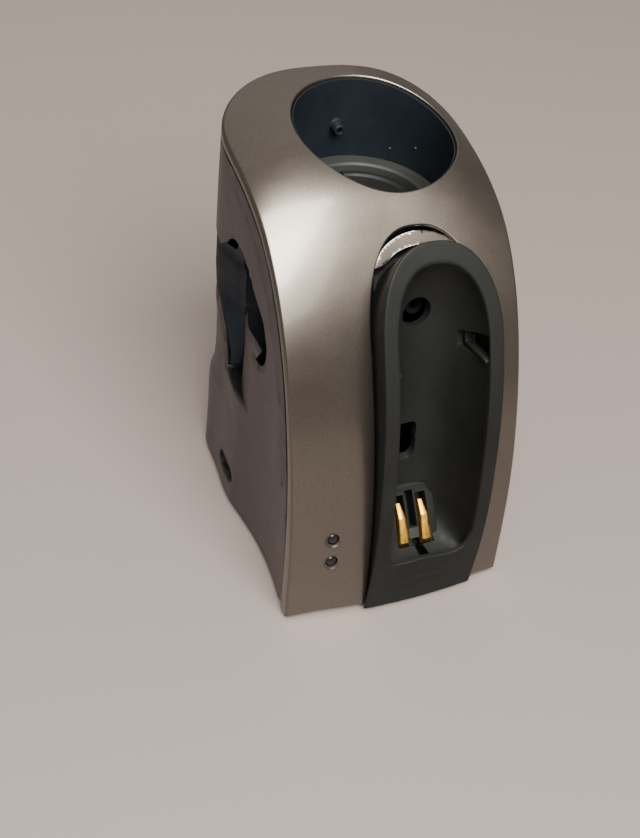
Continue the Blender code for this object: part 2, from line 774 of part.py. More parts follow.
def cradle():
    """The dark trough that holds the groomer, with its proud rim."""
    rings = (1.0, 0.965, 0.93, 0.84, RIM_INNER + 0.015, RIM_INNER, 0.745, 0.70, 0.62, 0.5, 0.36, 0.2, 0.0)
    lip = LIP_S / SLOT_SPRING_S * 0.36
    rows = [0.0, lip * 0.5, lip - 0.004, lip, lip + 0.004, lip + 0.012, lip + 0.03, lip + 0.06, lip + 0.1]
    rows += [0.20, 0.25, 0.30, 0.36]
    arch_rows = [0.36 + 0.28 * i / 14 for i in range(1, 14)]
    path = rows + arch_rows + [1 - r for r in reversed(rows)]
    shape = bmesh.new()
    front = [[shape.verts.new(cradle_front(ring, t)) for t in path] for ring in rings]
    waist = []
    back = []
    for t in path:
        x, s = cradle_measure(1.0, t)
        waist.append(shape.verts.new(cradle_skin(x, s, -1.2)))
        x, s = cradle_measure(0.97, t)
        back.append(shape.verts.new(cradle_skin(x, s, TROUGH(s) + 2.4)))
    layers = front[::-1] + [waist, back]
    for first, second in zip(layers, layers[1:]):
        for i in range(len(path) - 1):
            shape.faces.new((first[i], first[i + 1], second[i + 1], second[i]))
    middle = len(path) // 2
    for i in range(middle):
        j = len(path) - 1 - i
        if i + 1 < j - 1:
            shape.faces.new((back[i], back[i + 1], back[j - 1], back[j]))
        elif i + 1 == j - 1:
            shape.faces.new((back[i], back[i + 1], back[j]))
    foot = [layer[0] for layer in layers] + [layer[-1] for layer in reversed(layers)]
    shape.faces.new(foot)
    bmesh.ops.triangulate(shape, faces=shape.faces)
    made = add("cradle", shape, dark_plastic())
    for cutter in cradle_cutters():
        cut(made, cutter)
    return made


def cradle_cutters():
    """The nozzle port, the hook slot, the contact block's opening and the two latch openings."""
    bore = [(0, -14), (7.2, -14), (7.2, 20), (0, 20)]
    port = placed(turned(bore, 24, closed=False), (0, 1, -0.3), (0, 34, 96))
    hook = box_mesh((-4.2, 14, 46.5), (4.2, 40, 57.5))
    block = box_mesh((CONTACT_X - BLOCK_HALF - GAP, RAMP_FOOT[0] - GAP, RAMP_FOOT[1] - 4),
                     (CONTACT_X + BLOCK_HALF + GAP, 34, RAMP_TOP[1] + 1))
    latches = [latch_outline_box(side) for side in (-1, 1)]
    looks = dark_plastic()
    made = [add("port_cutter", port, looks), add("hook_cutter", hook, looks), add("block_cutter", block, looks)]
    made += [add(f"latch_cutter_{i}", shape, looks) for i, shape in enumerate(latches)]
    return made


def latch_outline_box(side):
    """The slanted opening in a side wall of the cradle."""
    shape = box_mesh((-4, -6.5, -3.2), (4, 6.5, 3.2))
    shape.transform(Matrix.Translation((side * 14.8, 0, 0)) @ latch_frame())
    return shape


def latch_frame():
    """Where the latches' own axes lie: along a slanted line up the cradle's side walls."""
    return Matrix.Translation((0, *LATCH_PLACE)) @ Matrix.Rotation(math.radians(-LATCH_SLANT), 4, "X")


def contact_block():
    """The raised block in the cradle's foot, with a slot for each contact and one between them."""
    rear = RAMP_TOP[0] + 4
    points = [(rear, RAMP_FOOT[1] - 3), (rear, RAMP_TOP[1] + 0.6), RAMP_TOP, RAMP_FOOT]
    points.append((RAMP_FOOT[0], RAMP_FOOT[1] - 3))
    shape = side_prism(points, CONTACT_X - BLOCK_HALF, CONTACT_X + BLOCK_HALF)
    made = add("contact_block", shape, dark_plastic())
    for i, offset in enumerate((-CONTACT_PITCH / 2, 0, CONTACT_PITCH / 2)):
        half = CONTACT_WIDTH / 2 + 0.6 if offset else 1.3
        slot = ramp_box((CONTACT_X + offset - half, CONTACT_X + offset + half), 1.2, 19.4, 6.0)
        cut(made, add(f"slot_cutter_{i}", slot, dark_plastic()))
    return made


def ramp_frame():
    """The contact ramp's foot point, and its directions up the ramp and out of it."""
    up = Vector((0, RAMP_TOP[0] - RAMP_FOOT[0], RAMP_TOP[1] - RAMP_FOOT[1])).normalized()
    out = Vector((0, -up.z, up.y))
    return Vector((0, *RAMP_FOOT)), up, out


def ramp_point(x, along, proud):
    foot, up, out = ramp_frame()
    point = foot + along * up + proud * out
    return (x, point.y, point.z)


def ramp_box(x_range, low, high, depth):
    shape = bmesh.new()
    corners = []
    for x in x_range:
        for along, proud in ((low, 4.0), (high, 4.0), (high, -depth), (low, -depth)):
            corners.append(shape.verts.new(ramp_point(x, along, proud)))
    bmesh.ops.convex_hull(shape, input=shape.verts)
    return shape


CONTACT_SIDE = (
    (2.2, 0.5), (3.4, 1.6), (6.5, 2.0), (14.0, 1.5), (16.6, 0.6), (17.4, -1.0), (16.2, -2.0), (2.6, -1.4),
)


def contact(name, side):
    """One gold blade: it stands proud of its slot and turns in about its upper end."""
    x = CONTACT_X + side * CONTACT_PITCH / 2
    points = [ramp_point(0, along, proud)[1:] for along, proud in CONTACT_SIDE]
    shape = side_prism(points, x - CONTACT_WIDTH / 2, x + CONTACT_WIDTH / 2)
    return add(name, shape, gold(), ramp_point(x, 16.4, -0.8))


def contact_bridge():
    """The small grey bar across the middle slot, between the contacts."""
    x = CONTACT_X
    shape = bmesh.new()
    for px in (x - 0.95, x + 0.95):
        for along, proud in ((4.6, 0.4), (7.8, 0.4), (7.8, -3.0), (4.6, -3.0)):
            shape.verts.new(ramp_point(px, along, proud))
    bmesh.ops.convex_hull(shape, input=shape.verts)
    return add("contact_bridge", shape, dark_plastic())


def crescent_key():
    """The silver key over the cradle's arch."""
    rise = SLOT_TOP_S - SLOT_SPRING_S
    outer_edge = []
    inner_edge = []
    for i in range(17):
        turn = math.pi * (0.84 - 0.68 * i / 16)
        x = math.copysign(abs(math.cos(turn)) ** (2 / SLOT_POWER), math.cos(turn))
        s = math.sin(turn) ** (2 / SLOT_POWER)
        outer_edge.append((x * (SLOT_HALF - 1.5), SLOT_SPRING_S + s * (rise - 1.5)))
        low = CRADLE_TOP_S - SLOT_SPRING_S + 1.0
        inner_edge.append((x * (CRADLE_HALF - 0.2), SLOT_SPRING_S + s * low + 0.6))
    outline = outer_edge[:] + [(x, min(s, so - 0.5)) for (x, s), (_, so) in zip(inner_edge, outer_edge)][::-1]
    shape = sheet_mesh(outline, [], 5, lambda x, s: skin(x, s, 0.2), lambda x, s: skin(x, s, 3.0))
    return add("crescent_key", shape, silver(), skin(0, SLOT_TOP_S - 4, 1.5))


def latch(name, side):
    """A sprung finger that stands in a side wall's opening and holds the groomer."""
    shape = bmesh.new()
    for y, z, x in ((-5.4, -2.2, 1.2), (-5.4, 2.2, 1.2), (5.2, 2.4, 0.2), (5.2, -2.4, 0.2)):
        for depth in (0, 1.6):
            shape.verts.new((side * (15.2 - x + depth), y, z))
    shape.verts.new((side * 13.2, -2.0, 0))
    bmesh.ops.convex_hull(shape, input=shape.verts)
    shape.transform(latch_frame())
    return add(name, shape, dark_plastic(), latch_frame() @ Vector((side * 15.8, 5.0, 0)))


# ---------------------------------------------------------------- inner works

def light_guides():
    """The two smoked domes that show the lights."""
    for name, (x, z) in zip(("light_guide_upper", "light_guide_lower"), LIGHTS):
        s = s_at_height(z)
        point = Vector(skin(x, s, 0))
        inward = (Vector(skin(x, s, 1)) - point).normalized()
        r = LIGHT_RADIUS
        outline = [(0, -0.2), (r * 0.5, -0.1), (r * 0.85, 0.25), (r, 0.8), (r, 4.0), (0, 4.0)]
        add(name, placed(turned(outline, 16, closed=False), inward, point), lens_plastic())


def board_and_lights():
    board = box_mesh((-42.3, 14.0, 6.0), (-23.5, 15.6, 58.0))
    add("circuit_board", board, board_green())
    for name, (x, z) in zip(("led_upper", "led_lower"), LIGHTS):
        lamp = turned([(0, 0), (1.4, 0.5), (1.6, 1.4), (1.6, 4.2), (0, 4.2)], 12, closed=False)
        add(name, placed(lamp, (0, 1, 0), (x, 9.4, z)), lens_plastic())
    coil = turned([(3.2, -6), (8.5, -6), (8.5, 6), (3.2, 6)], 20)
    add("charging_coil", placed(coil, (0, 0, 1), (-33, 36, 18)), copper())
    core = turned([(0, -8), (2.8, -8), (2.8, 8), (0, 8)], 16, closed=False)
    add("coil_core", placed(core, (0, 0, 1), (-33, 36, 18)), steel())


def inlet():
    """The two-pin power inlet: its body, with a recess for the plug, and its pins."""
    x = wall_point(INLET_Y, INLET_Z, 0)[0]
    rim = []
    for i in range(20):
        angle = 2 * math.pi * i / 20
        rim.append((INLET_Y + (INLET_LENGTH / 2 - GAP) * math.cos(angle),
                    INLET_Z + (INLET_HEIGHT / 2 - GAP) * math.sin(angle)))
    shape = side_prism(rim, x + 0.5, x + 13)
    body = add("inlet_body", shape, dark_plastic())
    well = [(INLET_Y + (y - INLET_Y) * 0.86, INLET_Z + (z - INLET_Z) * 0.76) for y, z in rim]
    cut(body, add("inlet_cutter", side_prism(well, x - 3, x + 9), dark_plastic()))
    for name, side in (("inlet_pin_front", -1), ("inlet_pin_rear", 1)):
        cut(body, add(name + "_cutter", pin(x + 6, x + 16, side, 1.2 + GAP), steel()))
        add(name, pin(x + 3.0, x + 15, side, 1.2), steel())


def pin(x_low, x_high, side, radius):
    shape = turned([(0, 0), (radius, 0), (radius, x_high - x_low), (0, x_high - x_low)], 12, closed=False)
    return placed(shape, (1, 0, 0), (x_low, INLET_Y + side * PIN_PITCH / 2, INLET_Z))


def wires_and_tube():
    x = wall_point(INLET_Y, INLET_Z, 0)[0] + 15.4
    for name, side in (("supply_wire_front", -1), ("supply_wire_rear", 1)):
        y = INLET_Y + side * PIN_PITCH / 2
        route = [(x, y, INLET_Z), (x + 3, y, INLET_Z + 0.5), (x + 5, y - 3, 34 + 4 * side),
                 (x + 4, 36, 46 + 5 * side),
                 (-30, 23, 47 + 5 * side), (-30, 16.2, 47 + 5 * side)]
        add(name, tube_mesh(smooth_path(route, 22), 0.7, 6), rubber())
    spout = turned([(1.6, 0), (3.2, 0), (3.8, 3), (3.8, 9), (1.6, 9)], 16)
    add("refill_nozzle", placed(spout, (0, 1, -0.3), (0, 36.5, 95.2)), dark_plastic())
    route = [(0, 46.2, 92.2), (0, 50, 91), (0, 55, 86), (0, 58, 76), (0, 62, 68), (0, 68.6, 66), (0, 70.2, 66)]
    add("dosing_tube", tube_mesh(smooth_path(route, 18), 1.5, 8), clear_tube())


def main():
    for old in list(bpy.data.objects):
        bpy.data.objects.remove(old)
    frame = bpy.data.objects.new("stand_frame", None)
    bpy.context.scene.collection.objects.link(frame)
    frame.location = Vector(STAND_PLACE) * MM
    front_shell()
    rear_housing()
    bottle_guard()
    base_plate()
    feet_and_screws()
    well_liner()
    locating_nub()
    well_platform()
    refill_pump()
    coil_spring("platform_spring", (0, WELL_Y, 0), 6.2, 0.5, 89.2, 100.6, 5)
    cradle()
    contact_block()
    contact("contact_left", -1)
    contact("contact_right", 1)
    contact_bridge()
    crescent_key()
    latch("latch_left", -1)
    latch("latch_right", 1)
    light_guides()
    board_and_lights()
    inlet()
    wires_and_tube()


main()
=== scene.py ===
"""Looks of the groomer's charging stand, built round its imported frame.

Shapes are worked out in stand millimetres: x from the middle plane of the well and the cradle, y
from the front edge of the foot to the back, z up from the shell's lower edge. PLACE puts them where
the frame has the well and the base plate.
"""

import math

import bmesh
import bpy
import numpy as np
from mathutils import Matrix, Vector
from mathutils.geometry import delaunay_2d_cdt, intersect_point_line
from mathutils.kdtree import KDTree


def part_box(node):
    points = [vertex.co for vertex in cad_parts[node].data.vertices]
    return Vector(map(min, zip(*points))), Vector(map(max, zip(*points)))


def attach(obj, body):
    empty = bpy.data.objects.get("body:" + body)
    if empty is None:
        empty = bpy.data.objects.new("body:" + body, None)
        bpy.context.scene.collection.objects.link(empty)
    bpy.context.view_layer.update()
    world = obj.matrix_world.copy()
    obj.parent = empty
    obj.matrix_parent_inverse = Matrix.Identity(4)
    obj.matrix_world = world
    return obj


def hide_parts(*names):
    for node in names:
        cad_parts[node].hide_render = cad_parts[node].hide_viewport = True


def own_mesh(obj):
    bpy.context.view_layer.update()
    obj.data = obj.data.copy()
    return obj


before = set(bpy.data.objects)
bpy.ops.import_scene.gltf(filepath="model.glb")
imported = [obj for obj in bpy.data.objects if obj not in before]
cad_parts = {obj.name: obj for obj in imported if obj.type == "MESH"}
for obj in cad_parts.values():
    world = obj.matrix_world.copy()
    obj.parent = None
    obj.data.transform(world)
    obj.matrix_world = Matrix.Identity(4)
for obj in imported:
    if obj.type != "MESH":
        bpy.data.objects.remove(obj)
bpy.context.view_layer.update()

MM = 0.001
GAP = 0.35

# Outer form
MIDDLE_X = -7.5
HALF_WIDTH = 39.7
TOP_FLARE = 0.9
FLARE_TOP_Z = 120
BACK_CENTRE_Y = 80.0
BACK_REACH = 33.2
BACK_POWER = 2.7
CROWN = 6.5
CROWN_Z = 130
FRONT_BULGE = 3.3
BULGE_TURN_Z = 70.0
SIDE_PINCH = 2.4
SIDE_WIDENING = 1.4
FRONT_PROFILE = (
    (0, 0), (4.9, 39.1), (14.7, 73.6), (28.6, 102.7), (48.1, 124.3), (78.2, 135.2), (114, 137.1),
)
REAR_PINCH = (
    (0, 1.3), (25, 1.4), (35, 1.4), (41, 2.0), (50, 2.5), (60, 2.3), (70, 1.3), (80, 0.4), (110, 0), (140, 0),
)
BACK_DEPTHS = (
    (0, 27), (24, 28.6), (33, 29), (38.5, 25.4), (50, 26), (62, 28.6), (80, 30.4), (100, 31.4), (140, 34),
)
SEAM_PLACES = ((0.5, 5), (27.6, 7.9), (44.8, 11.5), (55, 14.7), (68, 19), (86, 22), (93, 26.4), (110, 40))
BACK_TURN = 100.0
WALL_LENGTH = 2 * BACK_CENTRE_Y + BACK_TURN
EDGE_ROUND = 1.1
SHELL_WALL = 2.0
SKIRT_FOOT = 4.6
SKIRT_TOP = 2.4
SKIRT_TOP_S = 110
SKIRT_EASE = 1.5
HOUSING_WALL = 1.2
SEAM_GAP = 0.85
NORMAL_STEP = 0.5

# Bottle well
WELL_Y = 80.2
WELL_RADIUS = 27.0
LINER_RADIUS = 26.2
LEDGE_Z = 107.4
LEDGE_RADIUS = 20.7
PLATFORM_TOP_Z = 105.0
SPRING_RADIUS = 6.2
SPRING_FOOT_Z = 89.2
SPRING_HEIGHT = 11.4
SPRING_TURNS = 5

# Cradle
SLOT_HALF = 19.3
SLOT_POWER = 2.4
SLOT_SPRING_Z = 90.0
SLOT_TOP_Z = 119.5
CRADLE_HALF = 18.7
CRADLE_TOP_Z = 113.5
RIM_FLARE = 1.085
RIM_INNER = 0.785
RIM_PROUD = ((0, 1.4), (19, 4.5), (40, 6.8), (58, 8.5), (72, 10.0), (88, 11.0), (128, 11.4))
TROUGH_DEPTHS = ((0, 13), (30, 15.5), (52, 15.5), (80, 11), (100, 6), (128, 3))
LIP_S = 16.5
FLOOR_REACH = 14.0
TROUGH_WALL = 2.4
TROUGH_POWER = 2.2
RING_POWER = 2.4
CRADLE_FOOT_Z = 0.2
BELLY_HEIGHT = 0.5
BELLY_S = 9.5
BELLY_WIDTH = 1.4
STRAIGHT_SHARE = 0.36
PORT_PLACE = (-1.9, 31.3, 96.6)
PORT_MOUTH = 5.2
PORT_END = 5.0
HOOK_MIDDLE_Z = 52
LATCH_PLACE = (19.5, 91.0)
LATCH_SLANT = 24.0
LATCH_SPAN = (13.6, 16.4)
LATCH_HOLE_SPAN = (11.0, 18.5)

# Charging contacts
CONTACT_PITCH = 8.2
CONTACT_WIDTH = 3.2
BLOCK_HALF = 9.0
RAMP_TOP = (17.5, 32.6)
RAMP_FOOT = (3.9, 15.1)

# Side window and finger recess
WINDOW_LOW_Z = 70.6
WINDOW_HIGH_Z = 91.0
RECESS_FLOOR_Z = 48.6
RECESS_TOP_Z = 84.0
RECESS_FRONT_Y = 47.0
RECESS_REAR_Y = 73.0
RECESS_DEPTH = 6.0
RECESS_CURVE = 1.35
BACK_SEAM_Z = 128
GROOVE_DEPTH = 0.4
GROOVE_WIDTH = 0.32

# Power inlet and lights
INLET_Y = 62.8
INLET_Z = 11.5
INLET_LENGTH = 14.5
INLET_HEIGHT = 7.6
INLET_POWER = 0.8
WAIST_WIDTH = 0.34
PIN_PITCH = 8.0
LIGHTS = ((-32.6, 31.0), (-32.7, 22.0))
LIGHT_RADIUS = 1.9

PLATFORM_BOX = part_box("well_platform")
PLACE = Vector((
    (PLATFORM_BOX[0].x + PLATFORM_BOX[1].x) / 2,
    (PLATFORM_BOX[0].y + PLATFORM_BOX[1].y) / 2 - WELL_Y * MM,
    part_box("base_plate")[0].z,
))


# ---------------------------------------------------------------- curves

def natural_spline(knots, values):
    """A smooth function through the values at the knots."""
    knots = np.array(knots, float)
    values = np.array(values, float)
    count = len(knots)
    steps = np.diff(knots)
    system = np.eye(count)
    right = np.zeros(count)
    for i in range(1, count - 1):
        system[i, i - 1 : i + 2] = steps[i - 1], 2 * (steps[i - 1] + steps[i]), steps[i]
        right[i] = 6 * ((values[i + 1] - values[i]) / steps[i] - (values[i] - values[i - 1]) / steps[i - 1])
    bends = np.linalg.solve(system, right)

    def value(t):
        i = int(np.clip(np.searchsorted(knots, t) - 1, 0, count - 2))
        a = (knots[i + 1] - t) / steps[i]
        b = 1 - a
        curl = ((a**3 - a) * bends[i] + (b**3 - b) * bends[i + 1]) * steps[i] ** 2 / 6
        return float(a * values[i] + b * values[i + 1] + curl)

    return value


def smooth_path(points, count):
    """Points along a smooth curve through the given ones, in any number of dimensions."""
    points = np.array(points, float)
    chords = np.concatenate([[0], np.cumsum(np.linalg.norm(np.diff(points, axis=0), axis=1))])
    along = [natural_spline(chords, points[:, k]) for k in range(points.shape[1])]
    return [tuple(f(t) for f in along) for t in np.linspace(0, chords[-1], count)]


def smooth(t):
    t = min(max(t, 0.0), 1.0)
    return t * t * (3 - 2 * t)


def round_over(distance, radius):
    """How far a surface drops at a distance from an edge rounded with the radius."""
    short = max(radius - max(distance, 0.0), 0.0)
    return radius - math.sqrt(radius**2 - short**2)


def round_steps(radius, count=4):
    """Distances from a rounded edge at which its quarter circle is divided evenly."""
    return [radius * (1 - math.cos(math.pi / 2 * k / count)) for k in range(1, count + 1)]


def signed_power(value, power):
    return math.copysign(abs(value) ** power, value)


def arch(turn, power):
    """The point at an angle on a rounded arch of reach 1, squarer the higher the power."""
    return signed_power(math.cos(turn), 2 / power), abs(math.sin(turn)) ** (2 / power)


def around(count):
    """The angles that divide a full turn evenly."""
    return [2 * math.pi * i / count for i in range(count)]


def between(place, table):
    """The value at a place in a table of (place, value) pairs, on straight lines between them."""
    return float(np.interp(place, *zip(*table)))


def level(start, end, other, count):
    """Points evenly from start to end in the first direction, at one place in the second."""
    return [(place, other) for place in np.linspace(start, end, count)]


def upright(place, start, end, count):
    """Points at one place in the first direction, evenly from start to end in the second."""
    return [(place, other) for other in np.linspace(start, end, count)]


def profile_table():
    """The side view of the front and top: the path length s, and y and z along it."""
    points = np.array(FRONT_PROFILE, float)
    chords = np.concatenate([[0], np.cumsum(np.hypot(*np.diff(points, axis=0).T))])
    along_y = natural_spline(chords, points[:, 0])
    along_z = natural_spline(chords, points[:, 1])
    fine = np.linspace(0, chords[-1], 3000)
    y = np.array([along_y(t) for t in fine])
    z = np.array([along_z(t) for t in fine])
    s = np.concatenate([[0], np.cumsum(np.hypot(np.diff(y), np.diff(z)))])
    return s, y, z


PATH_S, PATH_Y, PATH_Z = profile_table()
BACK_DEPTH = natural_spline(*zip(*BACK_DEPTHS))
PROUD = natural_spline(*zip(*RIM_PROUD))
TROUGH = natural_spline(*zip(*TROUGH_DEPTHS))


def s_at_height(z):
    rising = int(np.argmax(PATH_Z))
    return float(np.interp(z, PATH_Z[:rising], PATH_S[:rising]))


SLOT_SPRING_S = s_at_height(SLOT_SPRING_Z)
SLOT_TOP_S = s_at_height(SLOT_TOP_Z)
CRADLE_TOP_S = s_at_height(CRADLE_TOP_Z)
CAP_S = float(np.interp(BACK_CENTRE_Y, PATH_Y, PATH_S))
END_S = float(np.interp(BACK_CENTRE_Y + BACK_REACH, PATH_Y, PATH_S))


def half_width(s):
    return HALF_WIDTH + TOP_FLARE * (min(s, 200) / 200) ** 2


def skin(x, s, depth=0.0):
    """The point at x and path length s on the outer form, sunk by depth along the path's normal."""
    places = (s, s - NORMAL_STEP, s + NORMAL_STEP)
    y, y_low, y_high = np.interp(places, PATH_S, PATH_Y)
    z, z_low, z_high = np.interp(places, PATH_S, PATH_Z)
    size = math.hypot(y_high - y_low, z_high - z_low)
    across = min(abs((x - MIDDLE_X) / half_width(s)), 1.05)
    bulge = FRONT_BULGE * max(1 - z / BULGE_TURN_Z, -0.7) * (1 - across**2)
    drop = CROWN * (z / CROWN_Z) ** 3 * across**3
    return (x, y - bulge + depth * (z_high - z_low) / size, z - drop - depth * (y_high - y_low) / size)


def s_at_plan(x, y):
    """The path length where the outer form stands over the plan point (x, y)."""
    low, high = SLOT_SPRING_S, float(PATH_S[-1])
    for _ in range(26):
        middle = (low + high) / 2
        if skin(x, middle)[1] < y:
            low = middle
        else:
            high = middle
    return low


def slot_outline(half, top, count=48, rows=60):
    """The cradle slot's outline, up the left side, over and down the right, as (x, s)."""
    points = [(-half, SLOT_SPRING_S * i / rows) for i in range(rows)]
    for i in range(count + 1):
        out, up = arch(math.pi * (1 - i / count), SLOT_POWER)
        points.append((half * out, SLOT_SPRING_S + (top - SLOT_SPRING_S) * up))
    return points + [(-x, s) for x, s in reversed(points[:rows])]


# ---------------------------------------------------------------- meshes

def new_object(name, data):
    made = bpy.data.objects.new(name, data)
    bpy.context.scene.collection.objects.link(made)
    return made


def to_mesh(name, shape, sharp=35):
    """A mesh in metres, in the frame, from a bmesh in stand millimetres."""
    bmesh.ops.recalc_face_normals(shape, faces=shape.faces)
    shape.transform(Matrix.Translation(PLACE) @ Matrix.Scale(MM, 4))
    data = bpy.data.meshes.new(name)
    shape.to_mesh(data)
    shape.free()
    data.shade_smooth()
    data.set_sharp_from_angle(angle=math.radians(sharp))
    use_true_normals(data)
    return data


def use_true_normals(data):
    """Gives the faces of a wall's outer side the exact normals that were kept on its points."""
    if "true_normal" not in data.attributes:
        return
    true = np.zeros(len(data.vertices) * 3, np.float32)
    data.attributes["true_normal"].data.foreach_get("vector", true)
    true = true.reshape(-1, 3)
    outer = np.zeros(len(data.polygons), np.int32)
    data.attributes["outer_face"].data.foreach_get("value", outer)
    normals = np.zeros((len(data.loops), 3), np.float32)
    for face in data.polygons:
        if not outer[face.index]:
            continue
        for loop in face.loop_indices:
            normal = true[data.loops[loop].vertex_index]
            normals[loop] = normal if np.dot(normal, face.normal) > 0 else -normal
    data.normals_split_custom_set([tuple(n) for n in normals])
    data.attributes.remove(data.attributes["true_normal"])
    data.attributes.remove(data.attributes["outer_face"])


def piece(name, shape, look, slot, *nodes, body="stand", sharp=35):
    """Makes a piece from a bmesh, and says which body it rides on and which nodes it stands for."""
    made = new_object(name, to_mesh(name, shape, sharp))
    for one in look if isinstance(look, tuple) else (look,):
        made.data.materials.append(one)
    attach(made, body)
    if nodes:
        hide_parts(*nodes)
    return made


def cut(target, *cutters):
    """Takes the cutters' shapes out of the target's mesh."""
    for shape in cutters:
        tool = new_object("tool", to_mesh("tool", shape))
        cutting = target.modifiers.new("cut", "BOOLEAN")
        cutting.operation = "DIFFERENCE"
        cutting.object = tool
        cutting.solver = "EXACT"
        graph = bpy.context.evaluated_depsgraph_get()
        done = bpy.data.meshes.new_from_object(target.evaluated_get(graph))
        target.modifiers.clear()
        target.data = done
        bpy.data.objects.remove(tool)
    target.data.shade_smooth()
    target.data.set_sharp_from_angle(angle=math.radians(35))


def bridge(shape, first, second):
    """Joins two closed rings of the same length with faces."""
    count = len(first)
    for i in range(count):
        j = (i + 1) % count
        corners = []
        for vert in (first[i], first[j], second[j], second[i]):
            if vert not in corners:
                corners.append(vert)
        if len(corners) > 2:
            shape.faces.new(corners)


def stacked(rings):
    """A solid through rings of points, all of the same length, with flat ends."""
    shape = bmesh.new()
    rings = [[shape.verts.new(point) for point in ring] for ring in rings]
    for first, second in zip(rings, rings[1:]):
        bridge(shape, first, second)
    shape.faces.new(rings[0])
    shape.faces.new(rings[-1])
    return shape


def turned(outline, sides=64, closed=False):
    """A solid turned about z from its (radius, z) outline; a zero radius is on the axis."""
    shape = bmesh.new()
    rings = []
    for radius, z in outline:
        if radius < 1e-6:
            rings.append([shape.verts.new((0, 0, z))] * sides)
            continue
        circle = [(radius * math.cos(a), radius * math.sin(a), z) for a in around(sides)]
        rings.append([shape.verts.new(point) for point in circle])
    for k in range(len(rings) if closed else len(rings) - 1):
        bridge(shape, rings[k], rings[(k + 1) % len(rings)])
    return shape


def eased(outline, radius, count=3):
    """An outline in two dimensions with its corners rounded; its ends stay."""
    points = [tuple(outline[0])]
    for before, corner, after in zip(outline, outline[1:], outline[2:]):
        b, c, a = Vector(before), Vector(corner), Vector(after)
        reach = min(radius, (b - c).length * 0.45, (a - c).length * 0.45)
        start = c + (b - c).normalized() * reach
        end = c + (a - c).normalized() * reach
        for k in range(count + 1):
            t = k / count
            points.append(tuple((1 - t) ** 2 * start + 2 * t * (1 - t) * c + t**2 * end))
    return points + [tuple(outline[-1])]


def eased_loop(loop, radius, count=3):
    """A closed outline with all its corners rounded."""
    closed = [loop[-1], *loop, loop[0]]
    return eased(closed, radius, count)[1:-1]


def placed(shape, axis, point):
    """Turns a shape made along +z to lie along the axis, and moves it to the point."""
    turn = Vector((0, 0, 1)).rotation_difference(Vector(axis)).to_matrix().to_4x4()
    shape.transform(Matrix.Translation(point) @ turn)
    return shape


def spun(outline, ease, sides, axis, point, count=3):
    """An outline with eased corners, turned about the axis through the point."""
    return placed(turned(eased(outline, ease, count), sides), axis, point)


def prism(loop, low, high, bevel=0.0, axis="X"):
    """An outline extruded along x from its (y, z) points, or along z from (x, y), with bevelled rims."""
    shape = bmesh.new()
    if axis == "X":
        near = [shape.verts.new((low, y, z)) for y, z in loop]
        far = [shape.verts.new((high, y, z)) for y, z in loop]
    else:
        near = [shape.verts.new((x, y, low)) for x, y in loop]
        far = [shape.verts.new((x, y, high)) for x, y in loop]
    ends = [shape.faces.new(near), shape.faces.new(far)]
    bridge(shape, near, far)
    bmesh.ops.recalc_face_normals(shape, faces=shape.faces)
    if bevel:
        edges = [edge for end in ends for edge in end.edges]
        bmesh.ops.bevel(shape, geom=edges, offset=bevel, segments=3, profile=0.5, affect="EDGES")
    return shape


def tube(points, radius, sides=12):
    """A round tube along the points, with domed ends."""
    path = [Vector(p) for p in points]
    rings = []
    side = None
    for i, point in enumerate(path):
        ahead = (path[min(i + 1, len(path) - 1)] - path[max(i - 1, 0)]).normalized()
        side = ahead.orthogonal() if side is None else side - ahead * side.dot(ahead)
        side.normalize()
        other = ahead.cross(side)
        at_end = i in (0, len(path) - 1)
        size = radius * (0.7 if at_end else 1.0)
        rings.append([point + size * (math.cos(a) * side + math.sin(a) * other) for a in around(sides)])
    return stacked(rings)


def inside(points, loop):
    """Which of the points are inside a closed loop."""
    points = np.asarray(points, float)
    a = np.asarray(loop, float)
    b = np.roll(a, -1, axis=0)
    x, y = points[:, 0][:, None], points[:, 1][:, None]
    crosses = (a[:, 1] > y) != (b[:, 1] > y)
    rise = np.where(np.abs(b[:, 1] - a[:, 1]) < 1e-12, 1e-12, b[:, 1] - a[:, 1])
    left = x < (b[:, 0] - a[:, 0]) * (y - a[:, 1]) / rise + a[:, 0]
    return (crosses & left).sum(1) % 2 == 1


class Line:
    """A run of points in a pattern, for finding how far other points are from it."""

    def __init__(self, points, closed=False):
        self.points = [Vector(p) for p in points] + ([Vector(points[0])] if closed else [])
        self.tree = KDTree(len(self.points))
        for i, point in enumerate(self.points):
            self.tree.insert((*point, 0), i)
        self.tree.balance()

    def distance(self, a, b):
        spot = Vector((a, b))
        _, i, best = self.tree.find((a, b, 0))
        last = len(self.points) - 1
        near = {i, last if i == 0 else i - 1, 1 if i == last else i + 1}
        for k in near - {i}:
            start, end = self.points[i], self.points[k]
            if (start - end).length > 6:
                continue
            on_line, share = intersect_point_line(spot, start, end)
            if 0 <= share <= 1:
                best = min(best, (spot - on_line).length)
        return best


def line_distance(points, line, closed=False):
    """The distance from each point to a line of points."""
    points = np.asarray(points, float)
    a = np.asarray(line, float)
    b = np.roll(a, -1, axis=0)
    if not closed:
        a, b = a[:-1], b[:-1]
    nearest = np.full(len(points), np.inf)
    for start, end in zip(a, b):
        along = end - start
        t = np.clip(((points - start) @ along) / max(along @ along, 1e-12), 0, 1)
        nearest = np.minimum(nearest, np.hypot(*(start + t[:, None] * along - points).T))
    return nearest


def inset(loop, distance):
    """A closed loop moved sideways by the distance, closed up at its end."""
    points = np.array(loop)
    along = np.roll(points, -1, axis=0) - np.roll(points, 1, axis=0)
    along /= np.linalg.norm(along, axis=1)[:, None]
    area = np.sum(points[:, 0] * np.roll(points[:, 1], -1) - np.roll(points[:, 0], -1) * points[:, 1])
    moved = points + distance * math.copysign(1, area) * np.stack((-along[:, 1], along[:, 0]), 1)
    return [tuple(p) for p in (*moved, moved[0])]


